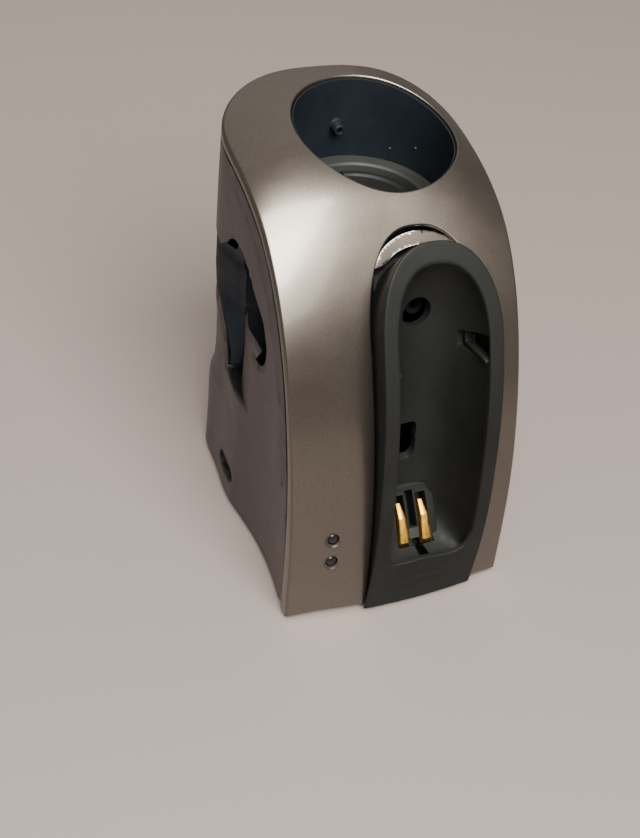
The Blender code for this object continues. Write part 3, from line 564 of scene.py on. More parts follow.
def sheet(outline, holes, spacing, outer, inner, lines=(), painted_shade=None, rim=0):
    """A closed wall over a flat pattern.

    outline and holes are loops in the pattern, lines are extra runs of points in it, and outer and
    inner give the 3-D point of each side of the wall over a pattern point. The painted-shade function
    gives a share of painted shade to keep on each point for its material, and rim is the material of
    the wall's cut edges.
    """
    loops = [list(outline)] + [list(hole) for hole in holes]
    runs = [(loop, True) for loop in loops] + [(line, False) for line in lines]

    def on_sheet(places):
        kept = inside(places, loops[0])
        for hole in loops[1:]:
            kept &= ~inside(places, hole)
        return kept

    points = []
    edges = []
    for run, closed in runs:
        first = len(points)
        points += run
        count = len(run) if closed else len(run) - 1
        edges += [(first + i, first + (i + 1) % len(run)) for i in range(count)]
    low = np.min(outline, axis=0)
    high = np.max(outline, axis=0)
    row_height = spacing * 0.87
    clearance = spacing * 0.45
    columns = int((high[0] - low[0]) / spacing) + 2
    filling = []
    for row in range(1, int((high[1] - low[1]) / row_height) + 1):
        b = low[1] + row * row_height
        filling += [(low[0] + (column + 0.5 * (row % 2)) * spacing, b) for column in range(columns)]
    filling = np.array(filling)
    filling = filling[on_sheet(filling)]
    for run, closed in runs:
        filling = filling[line_distance(filling, run, closed) > clearance]
    points += [tuple(p) for p in filling]
    verts, _, faces = delaunay_2d_cdt([Vector(p) for p in points], edges, [], 0, 1e-5, False)[:3]
    flat = np.array([tuple(v) for v in verts])
    kept = on_sheet(flat[np.array(faces)].mean(1))
    return wall(flat, [face for face, keep in zip(faces, kept) if keep], outer, inner, painted_shade, rim)


def wall(flat, faces, outer, inner, painted_shade, rim):
    """A closed wall from a flat mesh: its outer and inner side, joined along every free edge."""
    shape = bmesh.new()
    true_normal = shape.verts.layers.float_vector.new("true_normal")
    outer_face = shape.faces.layers.int.new("outer_face")
    # the share of painted shade kept on each point, for the material to darken it
    share = shape.verts.layers.float.new("painted_shade") if painted_shade else None
    nudge = 0.02
    top = []
    bottom = []
    for a, b in flat:
        vert = shape.verts.new(outer(a, b))
        over_a = Vector(outer(a + nudge, b)) - Vector(outer(a - nudge, b))
        over_b = Vector(outer(a, b + nudge)) - Vector(outer(a, b - nudge))
        vert[true_normal] = over_a.cross(over_b).normalized()
        top.append(vert)
        bottom.append(shape.verts.new(inner(a, b)))
        if painted_shade:
            vert[share] = painted_shade(a, b)
    used = set()
    for face in faces:
        made = shape.faces.new([top[i] for i in face])
        made[outer_face] = 1
        shape.faces.new([bottom[i] for i in reversed(face)])
        used.update(zip(face, [*face[1:], face[0]]))
    for i, j in used:
        if (j, i) not in used:
            shape.faces.new([top[j], top[i], bottom[i], bottom[j]]).material_index = rim
    bmesh.ops.delete(shape, geom=[v for v in shape.verts if not v.link_faces], context="VERTS")
    return shape


# ---------------------------------------------------------------- materials

class Nodes:
    """A short way to write a material's nodes."""

    def __init__(self, name, colour, roughness, metallic=0.0, coat=0.0, gloss=0.5):
        self.material = bpy.data.materials.new(name)
        self.material.use_nodes = True
        self.tree = self.material.node_tree
        self.shader = self.tree.nodes["Principled BSDF"]
        values = {
            "Base Color": (*colour, 1), "Roughness": roughness, "Metallic": metallic,
            "Coat Weight": coat, "Coat Roughness": 0.08, "Specular IOR Level": gloss,
        }
        for socket, value in values.items():
            self.shader.inputs[socket].default_value = value
        self.place = self.tree.nodes.new("ShaderNodeTexCoord").outputs["Object"]

    def node(self, kind, values, sources, output, **options):
        """Adds a node with its inputs' values, the outputs that feed its inputs, and its options."""
        made = self.tree.nodes.new("ShaderNode" + kind)
        for option, choice in options.items():
            setattr(made, option, choice)
        for socket, value in values.items():
            made.inputs[socket].default_value = value
        for socket, source in sources.items():
            self.tree.links.new(source, made.inputs[socket])
        return made.outputs[output]

    def noise(self, scale, detail=2.0, stretch=(1, 1, 1), lift=0.5):
        """A noise whose patches are about 1 / scale metres across."""
        place = self.node("Mapping", {"Scale": stretch}, {"Vector": self.place}, "Vector")
        values = {"Scale": scale, "Detail": detail, "Roughness": lift}
        return self.node("TexNoise", values, {"Vector": place}, "Fac")

    def cells(self, scale):
        """A random value for each of many small cells."""
        return self.node("TexVoronoi", {"Scale": scale}, {"Vector": self.place}, "Color")

    def ramp(self, value, low, high, start=0.0, end=1.0):
        """A value stretched from low..high to start..end, and held beyond."""
        values = {"From Min": low, "From Max": high, "To Min": start, "To Max": end}
        return self.node("MapRange", values, {"Value": value}, "Result")

    def mix(self, share, first, second):
        """A colour between two, each a colour or a node's output."""
        values = {}
        sources = {"Factor": share}
        for socket, colour in ((6, first), (7, second)):
            if isinstance(colour, tuple):
                values[socket] = (*colour, 1)
            else:
                sources[socket] = colour
        return self.node("Mix", values, sources, 2, data_type="RGBA")

    def times(self, first, second):
        return self.node("Math", {}, {0: first, 1: second}, 0, operation="MULTIPLY")

    def attribute(self, name):
        return self.node("Attribute", {}, {}, "Fac", attribute_name=name)

    def feed(self, socket, output):
        self.tree.links.new(output, self.shader.inputs[socket])

    def colour(self, output):
        self.feed("Base Color", output)

    def roughness(self, output):
        self.feed("Roughness", output)

    def bump(self, height, strength, depth):
        values = {"Strength": strength, "Distance": depth}
        self.feed("Normal", self.node("Bump", values, {"Height": height}, "Normal"))


def silver_lacquer():
    """Champagne metallic lacquer: fine flakes, a clear coat, faint cloudiness and hairline scratches."""
    made = Nodes("silver_lacquer", (0.125, 0.108, 0.092), 0.3, 0.85, 0.3)
    flakes = made.ramp(made.cells(9000), 0.2, 0.8)
    cloud = made.ramp(made.noise(45, 3), 0.3, 0.7)
    base = made.mix(flakes, (0.098, 0.083, 0.070), (0.155, 0.135, 0.115))
    warmer = made.mix(flakes, (0.094, 0.079, 0.066), (0.148, 0.128, 0.109))
    plain = made.mix(cloud, base, warmer)
    hairs = made.ramp(made.noise(260, 4, (9, 1, 0.6), 0.62), 0.74, 0.80)
    worn = made.times(hairs, made.ramp(made.noise(38, 2), 0.55, 0.68))
    made.colour(made.mix(worn, plain, (0.70, 0.68, 0.64)))
    made.roughness(made.ramp(made.noise(120, 4), 0.3, 0.75, 0.29, 0.325))
    made.bump(made.noise(900, 2), 0.06, 0.00004)
    return made.material


def housing_lacquer():
    """Warm grey-purple pearl lacquer on the rear body, with painted shade darkening it down in the finger
    recess.
    """
    made = Nodes("housing_lacquer", (0.08, 0.07, 0.07), 0.4, 0.35, 0.0, 0.18)
    flakes = made.ramp(made.cells(8000), 0.2, 0.8)
    cloud = made.ramp(made.noise(40, 3), 0.3, 0.7)
    base = made.mix(flakes, (0.059, 0.0485, 0.0515), (0.087, 0.074, 0.078))
    other = made.mix(flakes, (0.054, 0.046, 0.0495), (0.080, 0.069, 0.073))
    # painted shade: the recess panel is mixed towards near black, and the ledge at its foot to nearer black
    # still
    shade_share = made.attribute("painted_shade")
    shaded_panel = made.mix(shade_share, made.mix(cloud, base, other), (0.012, 0.011, 0.01))
    made.colour(made.mix(made.ramp(shade_share, 1.0, 2.0), shaded_panel, (0.002, 0.003, 0.004)))
    made.roughness(made.ramp(made.noise(150, 4), 0.3, 0.75, 0.38, 0.44))
    made.bump(made.noise(1100, 2), 0.08, 0.00005)
    return made.material


def moulded(name, colour, second, roughness, grain=0.12, dust=0.0, scale=5200):
    """Moulded plastic with a fine spark-eroded grain, and dust in it."""
    made = Nodes(name, colour, roughness, gloss=0.12)
    patches = made.mix(made.ramp(made.noise(70, 4), 0.3, 0.7), colour, second)
    specks = made.ramp(made.noise(1500, 3, lift=0.7), 0.68, 0.74)
    thin = made.times(specks, made.ramp(made.noise(120, 2), 0.4, 0.7, 0.0, dust))
    made.colour(made.mix(thin, patches, (0.32, 0.31, 0.29)))
    made.roughness(made.ramp(made.noise(300, 3), 0.3, 0.7, roughness - 0.05, roughness + 0.07))
    made.bump(made.noise(scale, 2), grain, 0.00006)
    return made.material


def plated(name, colour, second, roughness=0.24):
    """Plated metal with rubbing marks."""
    made = Nodes(name, colour, roughness, 1.0)
    marks = made.ramp(made.noise(900, 4, (1, 6, 6)), 0.4, 0.7)
    made.colour(made.mix(marks, colour, second))
    made.roughness(made.ramp(made.noise(700, 3), 0.3, 0.7, roughness - 0.06, roughness + 0.14))
    made.bump(made.noise(1600, 3), 0.18, 0.00005)
    return made.material


def smoked_lens():
    made = Nodes("smoked_lens", (0.012, 0.011, 0.013), 0.2, 0.0, 0.1, 0.3)
    cloud = made.ramp(made.noise(600, 2), 0.3, 0.7)
    made.colour(made.mix(cloud, (0.008, 0.007, 0.009), (0.016, 0.014, 0.016)))
    made.roughness(made.ramp(made.noise(800, 3), 0.3, 0.7, 0.08, 0.2))
    return made.material


SILVER = silver_lacquer()
HOUSING = housing_lacquer()
NAVY = moulded("navy_plastic", (0.012, 0.018, 0.025), (0.018, 0.025, 0.034), 0.5, 0.2, 0.1)
CHARCOAL = moulded("charcoal_plastic", (0.012, 0.013, 0.0125), (0.0165, 0.018, 0.0172), 0.6, 0.12, 0.1)
RIM_GREY = moulded("ledge_plastic", (0.05, 0.053, 0.052), (0.066, 0.07, 0.068), 0.42, 0.1, 0.1)
# near black and rough: the refill nozzle's black plastic, darkened further as painted shade deep in its port
NOZZLE_SHADE_BLACK = moulded("nozzle_black_painted_shade", (0.003, 0.003, 0.003), (0.005, 0.005, 0.005), 0.8, 0.1)
BLACK = moulded("black_plastic", (0.012, 0.012, 0.012), (0.02, 0.02, 0.02), 0.5, 0.1, 0.05)
RUBBER = moulded("rubber", (0.016, 0.016, 0.016), (0.026, 0.025, 0.024), 0.8, 0.3, 0.3, 2600)
SMOKE = moulded("smoke_plastic", (0.02, 0.02, 0.021), (0.03, 0.03, 0.031), 0.4, 0.05)
BOARD = moulded("board_laminate", (0.02, 0.12, 0.05), (0.03, 0.16, 0.07), 0.45, 0.1)
TINTED = moulded("tinted_plastic", (0.3, 0.03, 0.02), (0.4, 0.06, 0.03), 0.25, 0.02)
GOLD = plated("gold_plate", (0.5, 0.29, 0.045), (0.4, 0.21, 0.03), 0.4)
COPPER = plated("worn_copper", (0.52, 0.27, 0.12), (0.38, 0.2, 0.1), 0.35)
STEEL = plated("plain_steel", (0.5, 0.5, 0.5), (0.4, 0.4, 0.4), 0.3)
LENS = smoked_lens()


# ---------------------------------------------------------------- silver shell

def edge_distance(x, s):
    """How far a point of the shell's pattern is from its side and back edge."""
    wide = half_width(s)
    across = abs(x - MIDDLE_X) / wide
    if s <= CAP_S:
        return (1 - across) * wide
    back = (s - CAP_S) / (END_S - CAP_S)
    return (1 - (across**BACK_POWER + back**BACK_POWER) ** (1 / BACK_POWER)) * wide


def edge_line(margin, rows=70, turns=60, start=0.0):
    """A line in the shell's pattern, inset from the side and back edge."""
    left = [(MIDDLE_X - half_width(s) + margin, s) for s in np.linspace(start, CAP_S, rows)]
    cap = []
    for i in range(1, turns):
        out, up = arch(math.pi * (1 - i / turns), BACK_POWER)
        cap.append((MIDDLE_X + (half_width(CAP_S) - margin) * out, CAP_S + (END_S - CAP_S - margin) * up))
    right = [(MIDDLE_X + half_width(s) - margin, s) for s in np.linspace(CAP_S, start, rows)]
    return left + cap + right


def well_ring(radius, count=96):
    plan = [(radius * math.cos(a), WELL_Y + radius * math.sin(a)) for a in around(count)]
    return [(x, s_at_plan(x, y)) for x, y in plan]


def light_ring(place, radius, count=28):
    x, z = place
    s = s_at_height(z)
    return [(x + radius * math.cos(a), s + radius * math.sin(a)) for a in around(count)]


def skirt(s):
    """How far the shell's side reaches down."""
    return SKIRT_FOOT + (SKIRT_TOP - SKIRT_FOOT) * smooth(s / SKIRT_TOP_S)


SLOT_ROUND = 0.6
SLOT_EDGE = Line(slot_outline(SLOT_HALF, SLOT_TOP_S))
WELL_ROUND = 0.55
DIMPLE_RADIUS = 3.3
DIMPLE_DEPTH = 0.55
LIGHT_HOLE = 2.1


def shell_surface(x, s):
    """The shell's outer side, with its edges rounded and a dimple round each light."""
    depth = round_over(edge_distance(x, s), EDGE_ROUND) + round_over(SLOT_EDGE.distance(x, s), SLOT_ROUND)
    if s > SLOT_TOP_S:
        y = skin(x, s)[1]
        depth += round_over(math.hypot(x, y - WELL_Y) - WELL_RADIUS, WELL_ROUND)
    for light_x, light_z in LIGHTS:
        away = math.hypot(x - light_x, s - s_at_height(light_z))
        depth += DIMPLE_DEPTH * smooth((DIMPLE_RADIUS - away) / (DIMPLE_RADIUS - LIGHT_HOLE))
    return skin(x, s, depth)


def shell_inside(x, s):
    near_edge = smooth((EDGE_ROUND + SKIRT_EASE - edge_distance(x, s)) / SKIRT_EASE)
    return skin(x, s, SHELL_WALL + (skirt(s) - SHELL_WALL) * near_edge)


def front_shell():
    """The silver sheet that is the front and the top."""
    outline = slot_outline(SLOT_HALF, SLOT_TOP_S) + edge_line(0.0)[::-1]
    holes = [well_ring(WELL_RADIUS)] + [light_ring(place, LIGHT_HOLE) for place in LIGHTS]
    lines = [edge_line(margin, start=0.3) for margin in round_steps(EDGE_ROUND, 5)]
    lines += [inset(slot_outline(SLOT_HALF, SLOT_TOP_S), -d)[1:-2] for d in round_steps(SLOT_ROUND, 3)]
    rings = [well_ring(WELL_RADIUS + step) for step in round_steps(WELL_ROUND, 3)]
    rings += [light_ring(place, radius) for place in LIGHTS for radius in (2.3, 2.6, 2.9, DIMPLE_RADIUS)]
    lines += [[*ring, ring[0]] for ring in rings]
    shape = sheet(outline, holes, 1.9, shell_surface, shell_inside, lines)
    piece("silver_shell", shape, SILVER, "silver", "front_shell")


# ---------------------------------------------------------------- rear body

def plan_point(t, z):
    """The plan point of the housing at t round its wall: t is y up the left side, then round the back."""
    high = smooth(z / FLARE_TOP_Z)
    wide = HALF_WIDTH + TOP_FLARE * high + SIDE_WIDENING * (1 - high)
    tucked = between(z, REAR_PINCH)
    if t <= BACK_CENTRE_Y or t >= BACK_CENTRE_Y + BACK_TURN:
        y = t if t <= BACK_CENTRE_Y else WALL_LENGTH - t
        seam = between(z, SEAM_PLACES)
        hollow = math.sin(math.pi * min(max((y - seam) / (55 - seam), 0), 1))
        pinch = SIDE_PINCH * hollow + SIDE_WIDENING * (1 - min(max(y - seam, 0) / 60, 1))
        x = wide - pinch * (1 - high) - tucked * smooth((y - 58) / 22)
        return (MIDDLE_X + (-x if t <= BACK_CENTRE_Y else x), y)
    out, back = arch(math.pi * (t - BACK_CENTRE_Y) / BACK_TURN, BACK_POWER)
    return (MIDDLE_X + (tucked - wide) * out, BACK_CENTRE_Y + BACK_DEPTH(z) * back)


def wall_point(t, z, depth):
    """The point on the housing at (t, z), sunk by depth into the body."""
    before = plan_point(t - 0.4, z)
    after = plan_point(t + 0.4, z)
    along = Vector((after[0] - before[0], after[1] - before[1])).normalized()
    x, y = plan_point(t, z)
    return (x + depth * along.y, y - depth * along.x, z)


def mirrored(points):
    """The same points on the right side of the body."""
    return [(WALL_LENGTH - t, z) for t, z in reversed(points)]


def seam_line(count=90, lower=0.0):
    """The housing's front and top edge up the left side, below the shell, as (t, z)."""
    points = []
    for s in np.linspace(0.4, CAP_S, count):
        _, y, z = skin(MIDDLE_X - half_width(s), s, skirt(s) + SEAM_GAP + lower)
        points.append((y, z))
    return points


def back_seam(lower=0.0, count=60):
    points = []
    for t in np.linspace(BACK_CENTRE_Y + 3, WALL_LENGTH - BACK_CENTRE_Y - 3, count):
        x, y = plan_point(t, BACK_SEAM_Z)
        s = s_at_plan(x, min(y, BACK_CENTRE_Y + BACK_REACH - 0.4))
        points.append((t, skin(x, s)[2] - SKIRT_TOP - SEAM_GAP - lower))
    return points


WINDOW_TOP = (
    (84.5, 91.2), (82.4, 92.9), (79.6, 96.6), (76.0, 100.3), (71.4, 102.4), (66.0, 102.6), (60.6, 101.3),
    (56.0, 98.4), (51.6, 95.0), (47.4, 92.6), (43.2, 90.0), (40.5, 86.0), (39.8, 81.0), (40.8, 76.4),
    (44.2, 73.2), (47.6, 73.0),
)
TONGUE_TOP = (
    (46.2, 75.4), (43.6, 79.4), (48.2, 80.0), (54.0, 78.4), (60.8, 75.8), (66.0, 74.6), (71.2, 75.4),
)
WINDOW_REAR = ((74.8, 48.4), (77.2, 54.5), (80.6, 63.2), (83.2, 68.2), (87.0, 70.2), (92.0, WINDOW_LOW_Z))


def window_loop():
    """The opening from the left side's finger recess round the back to the right side's."""
    left = smooth_path(WINDOW_TOP, 60)
    left += eased([WINDOW_TOP[-1], *TONGUE_TOP, (RECESS_REAR_Y, 49.2)], 1.0, 4)[1:]
    left += smooth_path(WINDOW_REAR, 26)
    low = level(94, WALL_LENGTH - 94, WINDOW_LOW_Z, 50)
    high = level(88, WALL_LENGTH - 88, WINDOW_HIGH_Z, 56)[::-1]
    return left + low + mirrored(left) + high


def recess(t, z):
    """How far the finger recess sinks the housing's wall."""
    y = min(t, WALL_LENGTH - t)
    if not RECESS_FLOOR_Z < z <= RECESS_TOP_Z or not RECESS_FRONT_Y < y <= RECESS_REAR_Y + 0.5:
        return 0.0
    ramp = (y - RECESS_FRONT_Y) / (RECESS_REAR_Y - RECESS_FRONT_Y)
    return RECESS_DEPTH * ramp**RECESS_CURVE * smooth((z - RECESS_FLOOR_Z) / 0.9)


def recess_painted_shade(t, z):
    """How much painted shade the finger recess gets: 1 on the sunk panel, 2 on the ledge at its foot,
    darkest.
    """
    y = min(t, WALL_LENGTH - t)
    ledge = smooth((y - RECESS_FRONT_Y - 7) / 6) if RECESS_FLOOR_Z + 0.1 < z < RECESS_FLOOR_Z + 1.6 else 0.0
    return smooth(recess(t, z) / 1.5) * (1 + ledge) if y <= RECESS_REAR_Y + 0.5 else 0.0


WINDOW_ROUND = 0.7
BAND_LINE = 4.2


def inlet_loop(length_grow=0.0, height_grow=0.0, waist=0.0, count=40):
    """The inlet's rounded outline, grown in length and height, and drawn in at its middle by a share."""
    points = []
    for angle in around(count):
        narrow = 1 - waist * math.exp(-((math.cos(angle) / WAIST_WIDTH) ** 2))
        out = (INLET_LENGTH / 2 + length_grow) * signed_power(math.cos(angle), INLET_POWER)
        up = (INLET_HEIGHT / 2 + height_grow) * narrow * signed_power(math.sin(angle), INLET_POWER)
        points.append((INLET_Y + out, INLET_Z + up))
    return points


def housing_outline():
    left = seam_line()
    right = mirrored(left)
    return left + back_seam() + right + level(right[-1][0], left[0][0], 0.0, 130)


def rear_housing():
    """The grey body behind the shell, with the windows, the finger recesses and the inlet's hole."""
    window = window_loop()
    inlet = inlet_loop()
    outline = housing_outline()
    top_edge = seam_line() + back_seam() + mirrored(seam_line())
    band_side = seam_line(lower=BAND_LINE)[26:]
    band = band_side + back_seam(BAND_LINE) + mirrored(band_side)
    to_window, to_inlet = Line(window, True), Line(inlet, True)
    to_top, to_band = Line(top_edge), Line(band)

    def depth_at(t, z):
        groove = GROOVE_DEPTH * math.exp(-((to_band.distance(t, z) / GROOVE_WIDTH) ** 2))
        edges = round_over(to_window.distance(t, z), WINDOW_ROUND) + round_over(to_inlet.distance(t, z), 0.5)
        return recess(t, z) + groove + edges + round_over(to_top.distance(t, z), 0.3) + round_over(z, 0.8)

    lines = []
    for side in (list, mirrored):
        for z in (RECESS_FLOOR_Z, RECESS_FLOOR_Z + 0.3, RECESS_FLOOR_Z + 0.9):
            lines.append(side(level(RECESS_FRONT_Y, RECESS_REAR_Y - 0.9, z, 16)))
    lines += [level(10, WALL_LENGTH - 10, z, 150) for z in (32.8, 34.5, 36.5, 38.6)]
    lines += [level(8, WALL_LENGTH - 8, z, 150) for z in (0.25, 0.8)]
    lines += [[*ring, ring[0]] for ring in (inlet_loop(0.2, 0.2), inlet_loop(0.5, 0.5))]
    lines.append(band)
    shape = sheet(
        outline, [window, inlet], 2.3,
        lambda t, z: wall_point(t, z, depth_at(t, z)),
        lambda t, z: wall_point(t, z, recess(t, z) + HOUSING_WALL),
        lines,
        # painted shade in the finger recesses, kept as a share on each point of the wall
        recess_painted_shade,
        # the cut edges get black plastic: painted shade in the seam gap to the shell and along the window's
        # edges
        rim=1,
    )
    piece("rear_body", shape, (HOUSING, BLACK), "housing", "rear_housing")


GUARD_FRONT = (
    (47, 73.9), (70.6, 75.6), (75, 74.0), (86, 74.0), (88.8, 77.4), (94, 72.6), (99.3, 67.7), (104, 66.0),
)
GUARD_FRONT_DEPTH = ((47, 7.0), (70, 6.5), (88, 6.2), (94, 4.6), (99.3, 3.0), (104, 3.0))
GUARD_REAR = (*((z, y) for y, z in WINDOW_REAR[:-1]), (76, 90))
POCKET_FRONT = 46.0
POCKET_DEPTH = 13.5


def guard_depth(t, z):
    """The guard's face, rising from its front edge in the pocket to the rear edge of the window."""
    y = min(t, WALL_LENGTH - t)
    front = between(z, GUARD_FRONT)
    if y < front:
        return POCKET_DEPTH
    deep = between(z, GUARD_FRONT_DEPTH)
    rear = between(z, GUARD_REAR)
    across = min((y - front) / (rear - front), 1.0)
    return deep + (0.45 - deep) * (across + (smooth(across) - across) * smooth((z - 60) / 22))


def bottle_guard():
    """The blue-black wall behind the window and the pocket in front of it, with a slot in each side."""
    window = window_loop()
    to_window = Line(window, True)
    start, end = POCKET_FRONT, WALL_LENGTH - POCKET_FRONT
    low, high, step = 47.2, 104.0, 50.0
    front = GUARD_FRONT[0][1]
    side = upright(front, low, step - 1, 12) + level(front - 0.5, start, step, 20)
    side += upright(start, step + 1, high - 1, 24)
    bottom = level(WALL_LENGTH - front - 1, front + 1, low, 110)
    outline = side + level(start, end, high, 150) + mirrored(side) + bottom
    corners = [(82.4, 92.6), (78.0, 94.2), (74.9, 97.8), (70.8, 103.3), (76.8, 102.0), (81.4, 97.0)]
    slot = eased_loop(corners, 0.7)

    def depth_at(t, z):
        depth = guard_depth(t, z)
        inward = to_window.distance(t, z) * (1 if inside([(t, z)], window)[0] else -1)
        return depth + (max(depth, HOUSING_WALL + 0.5) - depth) * smooth((0.5 - inward) / 0.25)

    lines = [inset(window, 0.28), inset(window, 0.5)]
    for offset in (-0.5, 0.02, 0.5):
        edge = [(between(z, GUARD_FRONT) + offset, z) for z in np.linspace(50.6, 103.6, 72)]
        lines += [edge, mirrored(edge)]
    shape = sheet(
        outline, [slot, mirrored(slot)], 2.2,
        lambda t, z: wall_point(t, z, depth_at(t, z)),
        lambda t, z: wall_point(t, z, depth_at(t, z) + 1.2),
        lines,
    )
    piece("inner_guard", shape, NAVY, "navy", "bottle_guard")


# ---------------------------------------------------------------- bottle well

def well_liner():
    """The blue-black cup in the well hole, with its grey ledge ring, cut to the slope of the top."""
    lip = 26.6
    profile = [
        (LINER_RADIUS, -1.1), (LINER_RADIUS, None), (LINER_RADIUS, LEDGE_Z), (27.7, LEDGE_Z), (27.7, -3.2),
        (lip, -3.2), (lip, -1.0),
    ]
    shape = bmesh.new()
    rings = [[] for _ in profile]
    for angle in around(128):
        x, y = math.cos(angle), math.sin(angle)
        plan = (WELL_RADIUS * x, WELL_Y + WELL_RADIUS * y)
        top = skin(plan[0], s_at_plan(*plan))[2]
        for ring, (radius, z) in zip(rings, profile):
            height = top - 2.4 if z is None else (top + z if z < 0 else z)
            ring.append(shape.verts.new((radius * x, WELL_Y + radius * y, height)))
    for k in range(len(rings)):
        bridge(shape, rings[k], rings[(k + 1) % len(rings)])
    piece("liner_cup", shape, NAVY, "navy", "well_liner")
    ring = [
        (LEDGE_RADIUS, 98.5), (22.3, 98.5), (22.3, 105.0), (27.6, 105.0), (27.6, LEDGE_Z - 0.15),
        (26.3, LEDGE_Z - 0.15), (LEDGE_RADIUS + 1.0, LEDGE_Z), (LEDGE_RADIUS, LEDGE_Z - 0.6),
        (LEDGE_RADIUS, 98.5),
    ]
    ledge = placed(turned(eased(ring, 0.3)[:-1], 128, closed=True), (0, 0, 1), (0, WELL_Y, 0))
    piece("ledge_ring", ledge, RIM_GREY, "navy")


def locating_nub():
    """The hollow peg on the back of the liner's wall, and two pips beside it."""
    y = WELL_Y + LINER_RADIUS
    outline = [
        (0, 0.8), (0.85, 0.8), (0.85, 3.9), (1.9, 3.9), (2.3, 0.2), (2.9, 0.05), (2.9, -0.2), (0, -0.2),
    ]
    shape = spun(outline, 0.45, 40, (0, -1, 0), (-1.2, y - 0.05, 119.2), 4)
    piece("liner_nub", shape, NAVY, "navy", "locating_nub")
    for name, x, z in (("liner_pip_inner", 17.3, 112.2), ("liner_pip_outer", 23.1, 115.8)):
        back = math.sqrt(LINER_RADIUS**2 - x**2)
        outline = [(0, 0.55), (0.4, 0.45), (0.6, -0.2), (0, -0.2)]
        pip = spun(outline, 0.2, 20, (-x, -back, 0), (x, WELL_Y + back, z))
        piece(name, pip, RIM_GREY, "navy")


def well_platform():
    """The dark disc that the bottle presses down, with a raised rim and a witness line across it."""
    r = LEDGE_RADIUS - 0.6
    z = PLATFORM_TOP_Z
    outline = [(0, z - 0.8), (r - 2.4, z - 0.8), (r - 1.9, z - 0.1), (r - 1.2, z), (r - 0.2, z), (r, z - 0.6),
               (r, z - 3.2), (4.0, z - 3.2), (4.0, z - 22), (0, z - 22)]
    shape = spun(outline, 0.35, 128, (0, 0, 1), (0, WELL_Y, 0))
    made = piece("platform_disc", shape, BLACK, "dark", "well_platform", body="well_platform_body")
    line = prism([(-0.3, WELL_Y + 2), (0.3, WELL_Y + 2), (0.3, WELL_Y + r + 1), (-0.3, WELL_Y + r + 1)],
                 z - 1.1, z + 1, axis="Z")
    cut(made, line)
    coil = []
    per_turn = 24
    steps = SPRING_TURNS * per_turn
    for i in range(steps + 1):
        angle = 2 * math.pi * i / per_turn
        coil.append((SPRING_RADIUS * math.cos(angle), WELL_Y + SPRING_RADIUS * math.sin(angle),
                     SPRING_FOOT_Z + SPRING_HEIGHT * i / steps))
    made = piece("press_spring", tube(coil, 0.5), STEEL, "steel", "platform_spring")
    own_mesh(made)


# ---------------------------------------------------------------- cradle

def cradle_measure(ring, along):
    """The pattern point (x, s) at a ring, 1 at the rim and 0 on the middle line, and along it, 0 to 1."""
    rise = CRADLE_TOP_S - SLOT_SPRING_S
    if along <= STRAIGHT_SHARE or along >= 1 - STRAIGHT_SHARE:
        s = SLOT_SPRING_S * min(along, 1 - along) / STRAIGHT_SHARE
        return (-ring * CRADLE_HALF if along < 0.5 else ring * CRADLE_HALF, s)
    out, up = arch(math.pi * (1 - (along - STRAIGHT_SHARE) / (1 - 2 * STRAIGHT_SHARE)), SLOT_POWER)
    return (ring * CRADLE_HALF * out, SLOT_SPRING_S + ring * rise * up)


def cradle_skin(x, s, depth):
    """A point of the cradle, which stops just above the stand's lower edge."""
    x, y, z = skin(x, s, depth)
    return (x, y, max(z, CRADLE_FOOT_Z))


RIM_ROUND = 0.65
RIM_INNER_ROUND = 0.7
RIM_LEAN = 2.2


def cradle_front(ring, along, share, rounding):
    """A point of the cradle's front: share is how far it is down the trough."""
    x, s = cradle_measure(ring, along)
    flare = 1 + (RIM_FLARE - 1) * smooth((ring - 0.6) / 0.4)
    floor = min(max((s - LIP_S) / FLOOR_REACH, 0.0), 1.0)
    rise = math.sqrt(1 - (1 - floor) ** 2)
    if ring < 0.9:
        rounding *= smooth(3 * rise)
    belly = BELLY_HEIGHT * math.exp(-(((s - BELLY_S) / BELLY_WIDTH) ** 2)) * smooth((0.5 - ring) / 0.3)
    depth = rounding + belly - PROUD(s) + (PROUD(s) + TROUGH(s)) * share * rise
    lean = RIM_LEAN * smooth((s - 70) / 50) * min(max(-depth / PROUD(s), 0.0), 1.0)
    return cradle_skin(x * flare, s + lean, depth)


def cradle_rows():
    """How the cradle is divided along its rim: closely round the lip, evenly elsewhere."""
    per_mm = STRAIGHT_SHARE / SLOT_SPRING_S
    foot = [s * per_mm for s in np.linspace(0, LIP_S - 3, 8)]
    lip = [s * per_mm for s in np.linspace(LIP_S - 2.6, LIP_S - 0.02, 9)]
    floor = [(LIP_S + FLOOR_REACH * (1 - math.cos(a))) * per_mm for a in np.linspace(0.02, math.pi / 2, 16)]
    side = [s * per_mm for s in np.linspace(LIP_S + FLOOR_REACH + 1.6, SLOT_SPRING_S, 34)]
    half = foot + lip + floor + side
    over = list(np.linspace(STRAIGHT_SHARE, 1 - STRAIGHT_SHARE, 62))[1:-1]
    return half + over + [1 - along for along in reversed(half)]


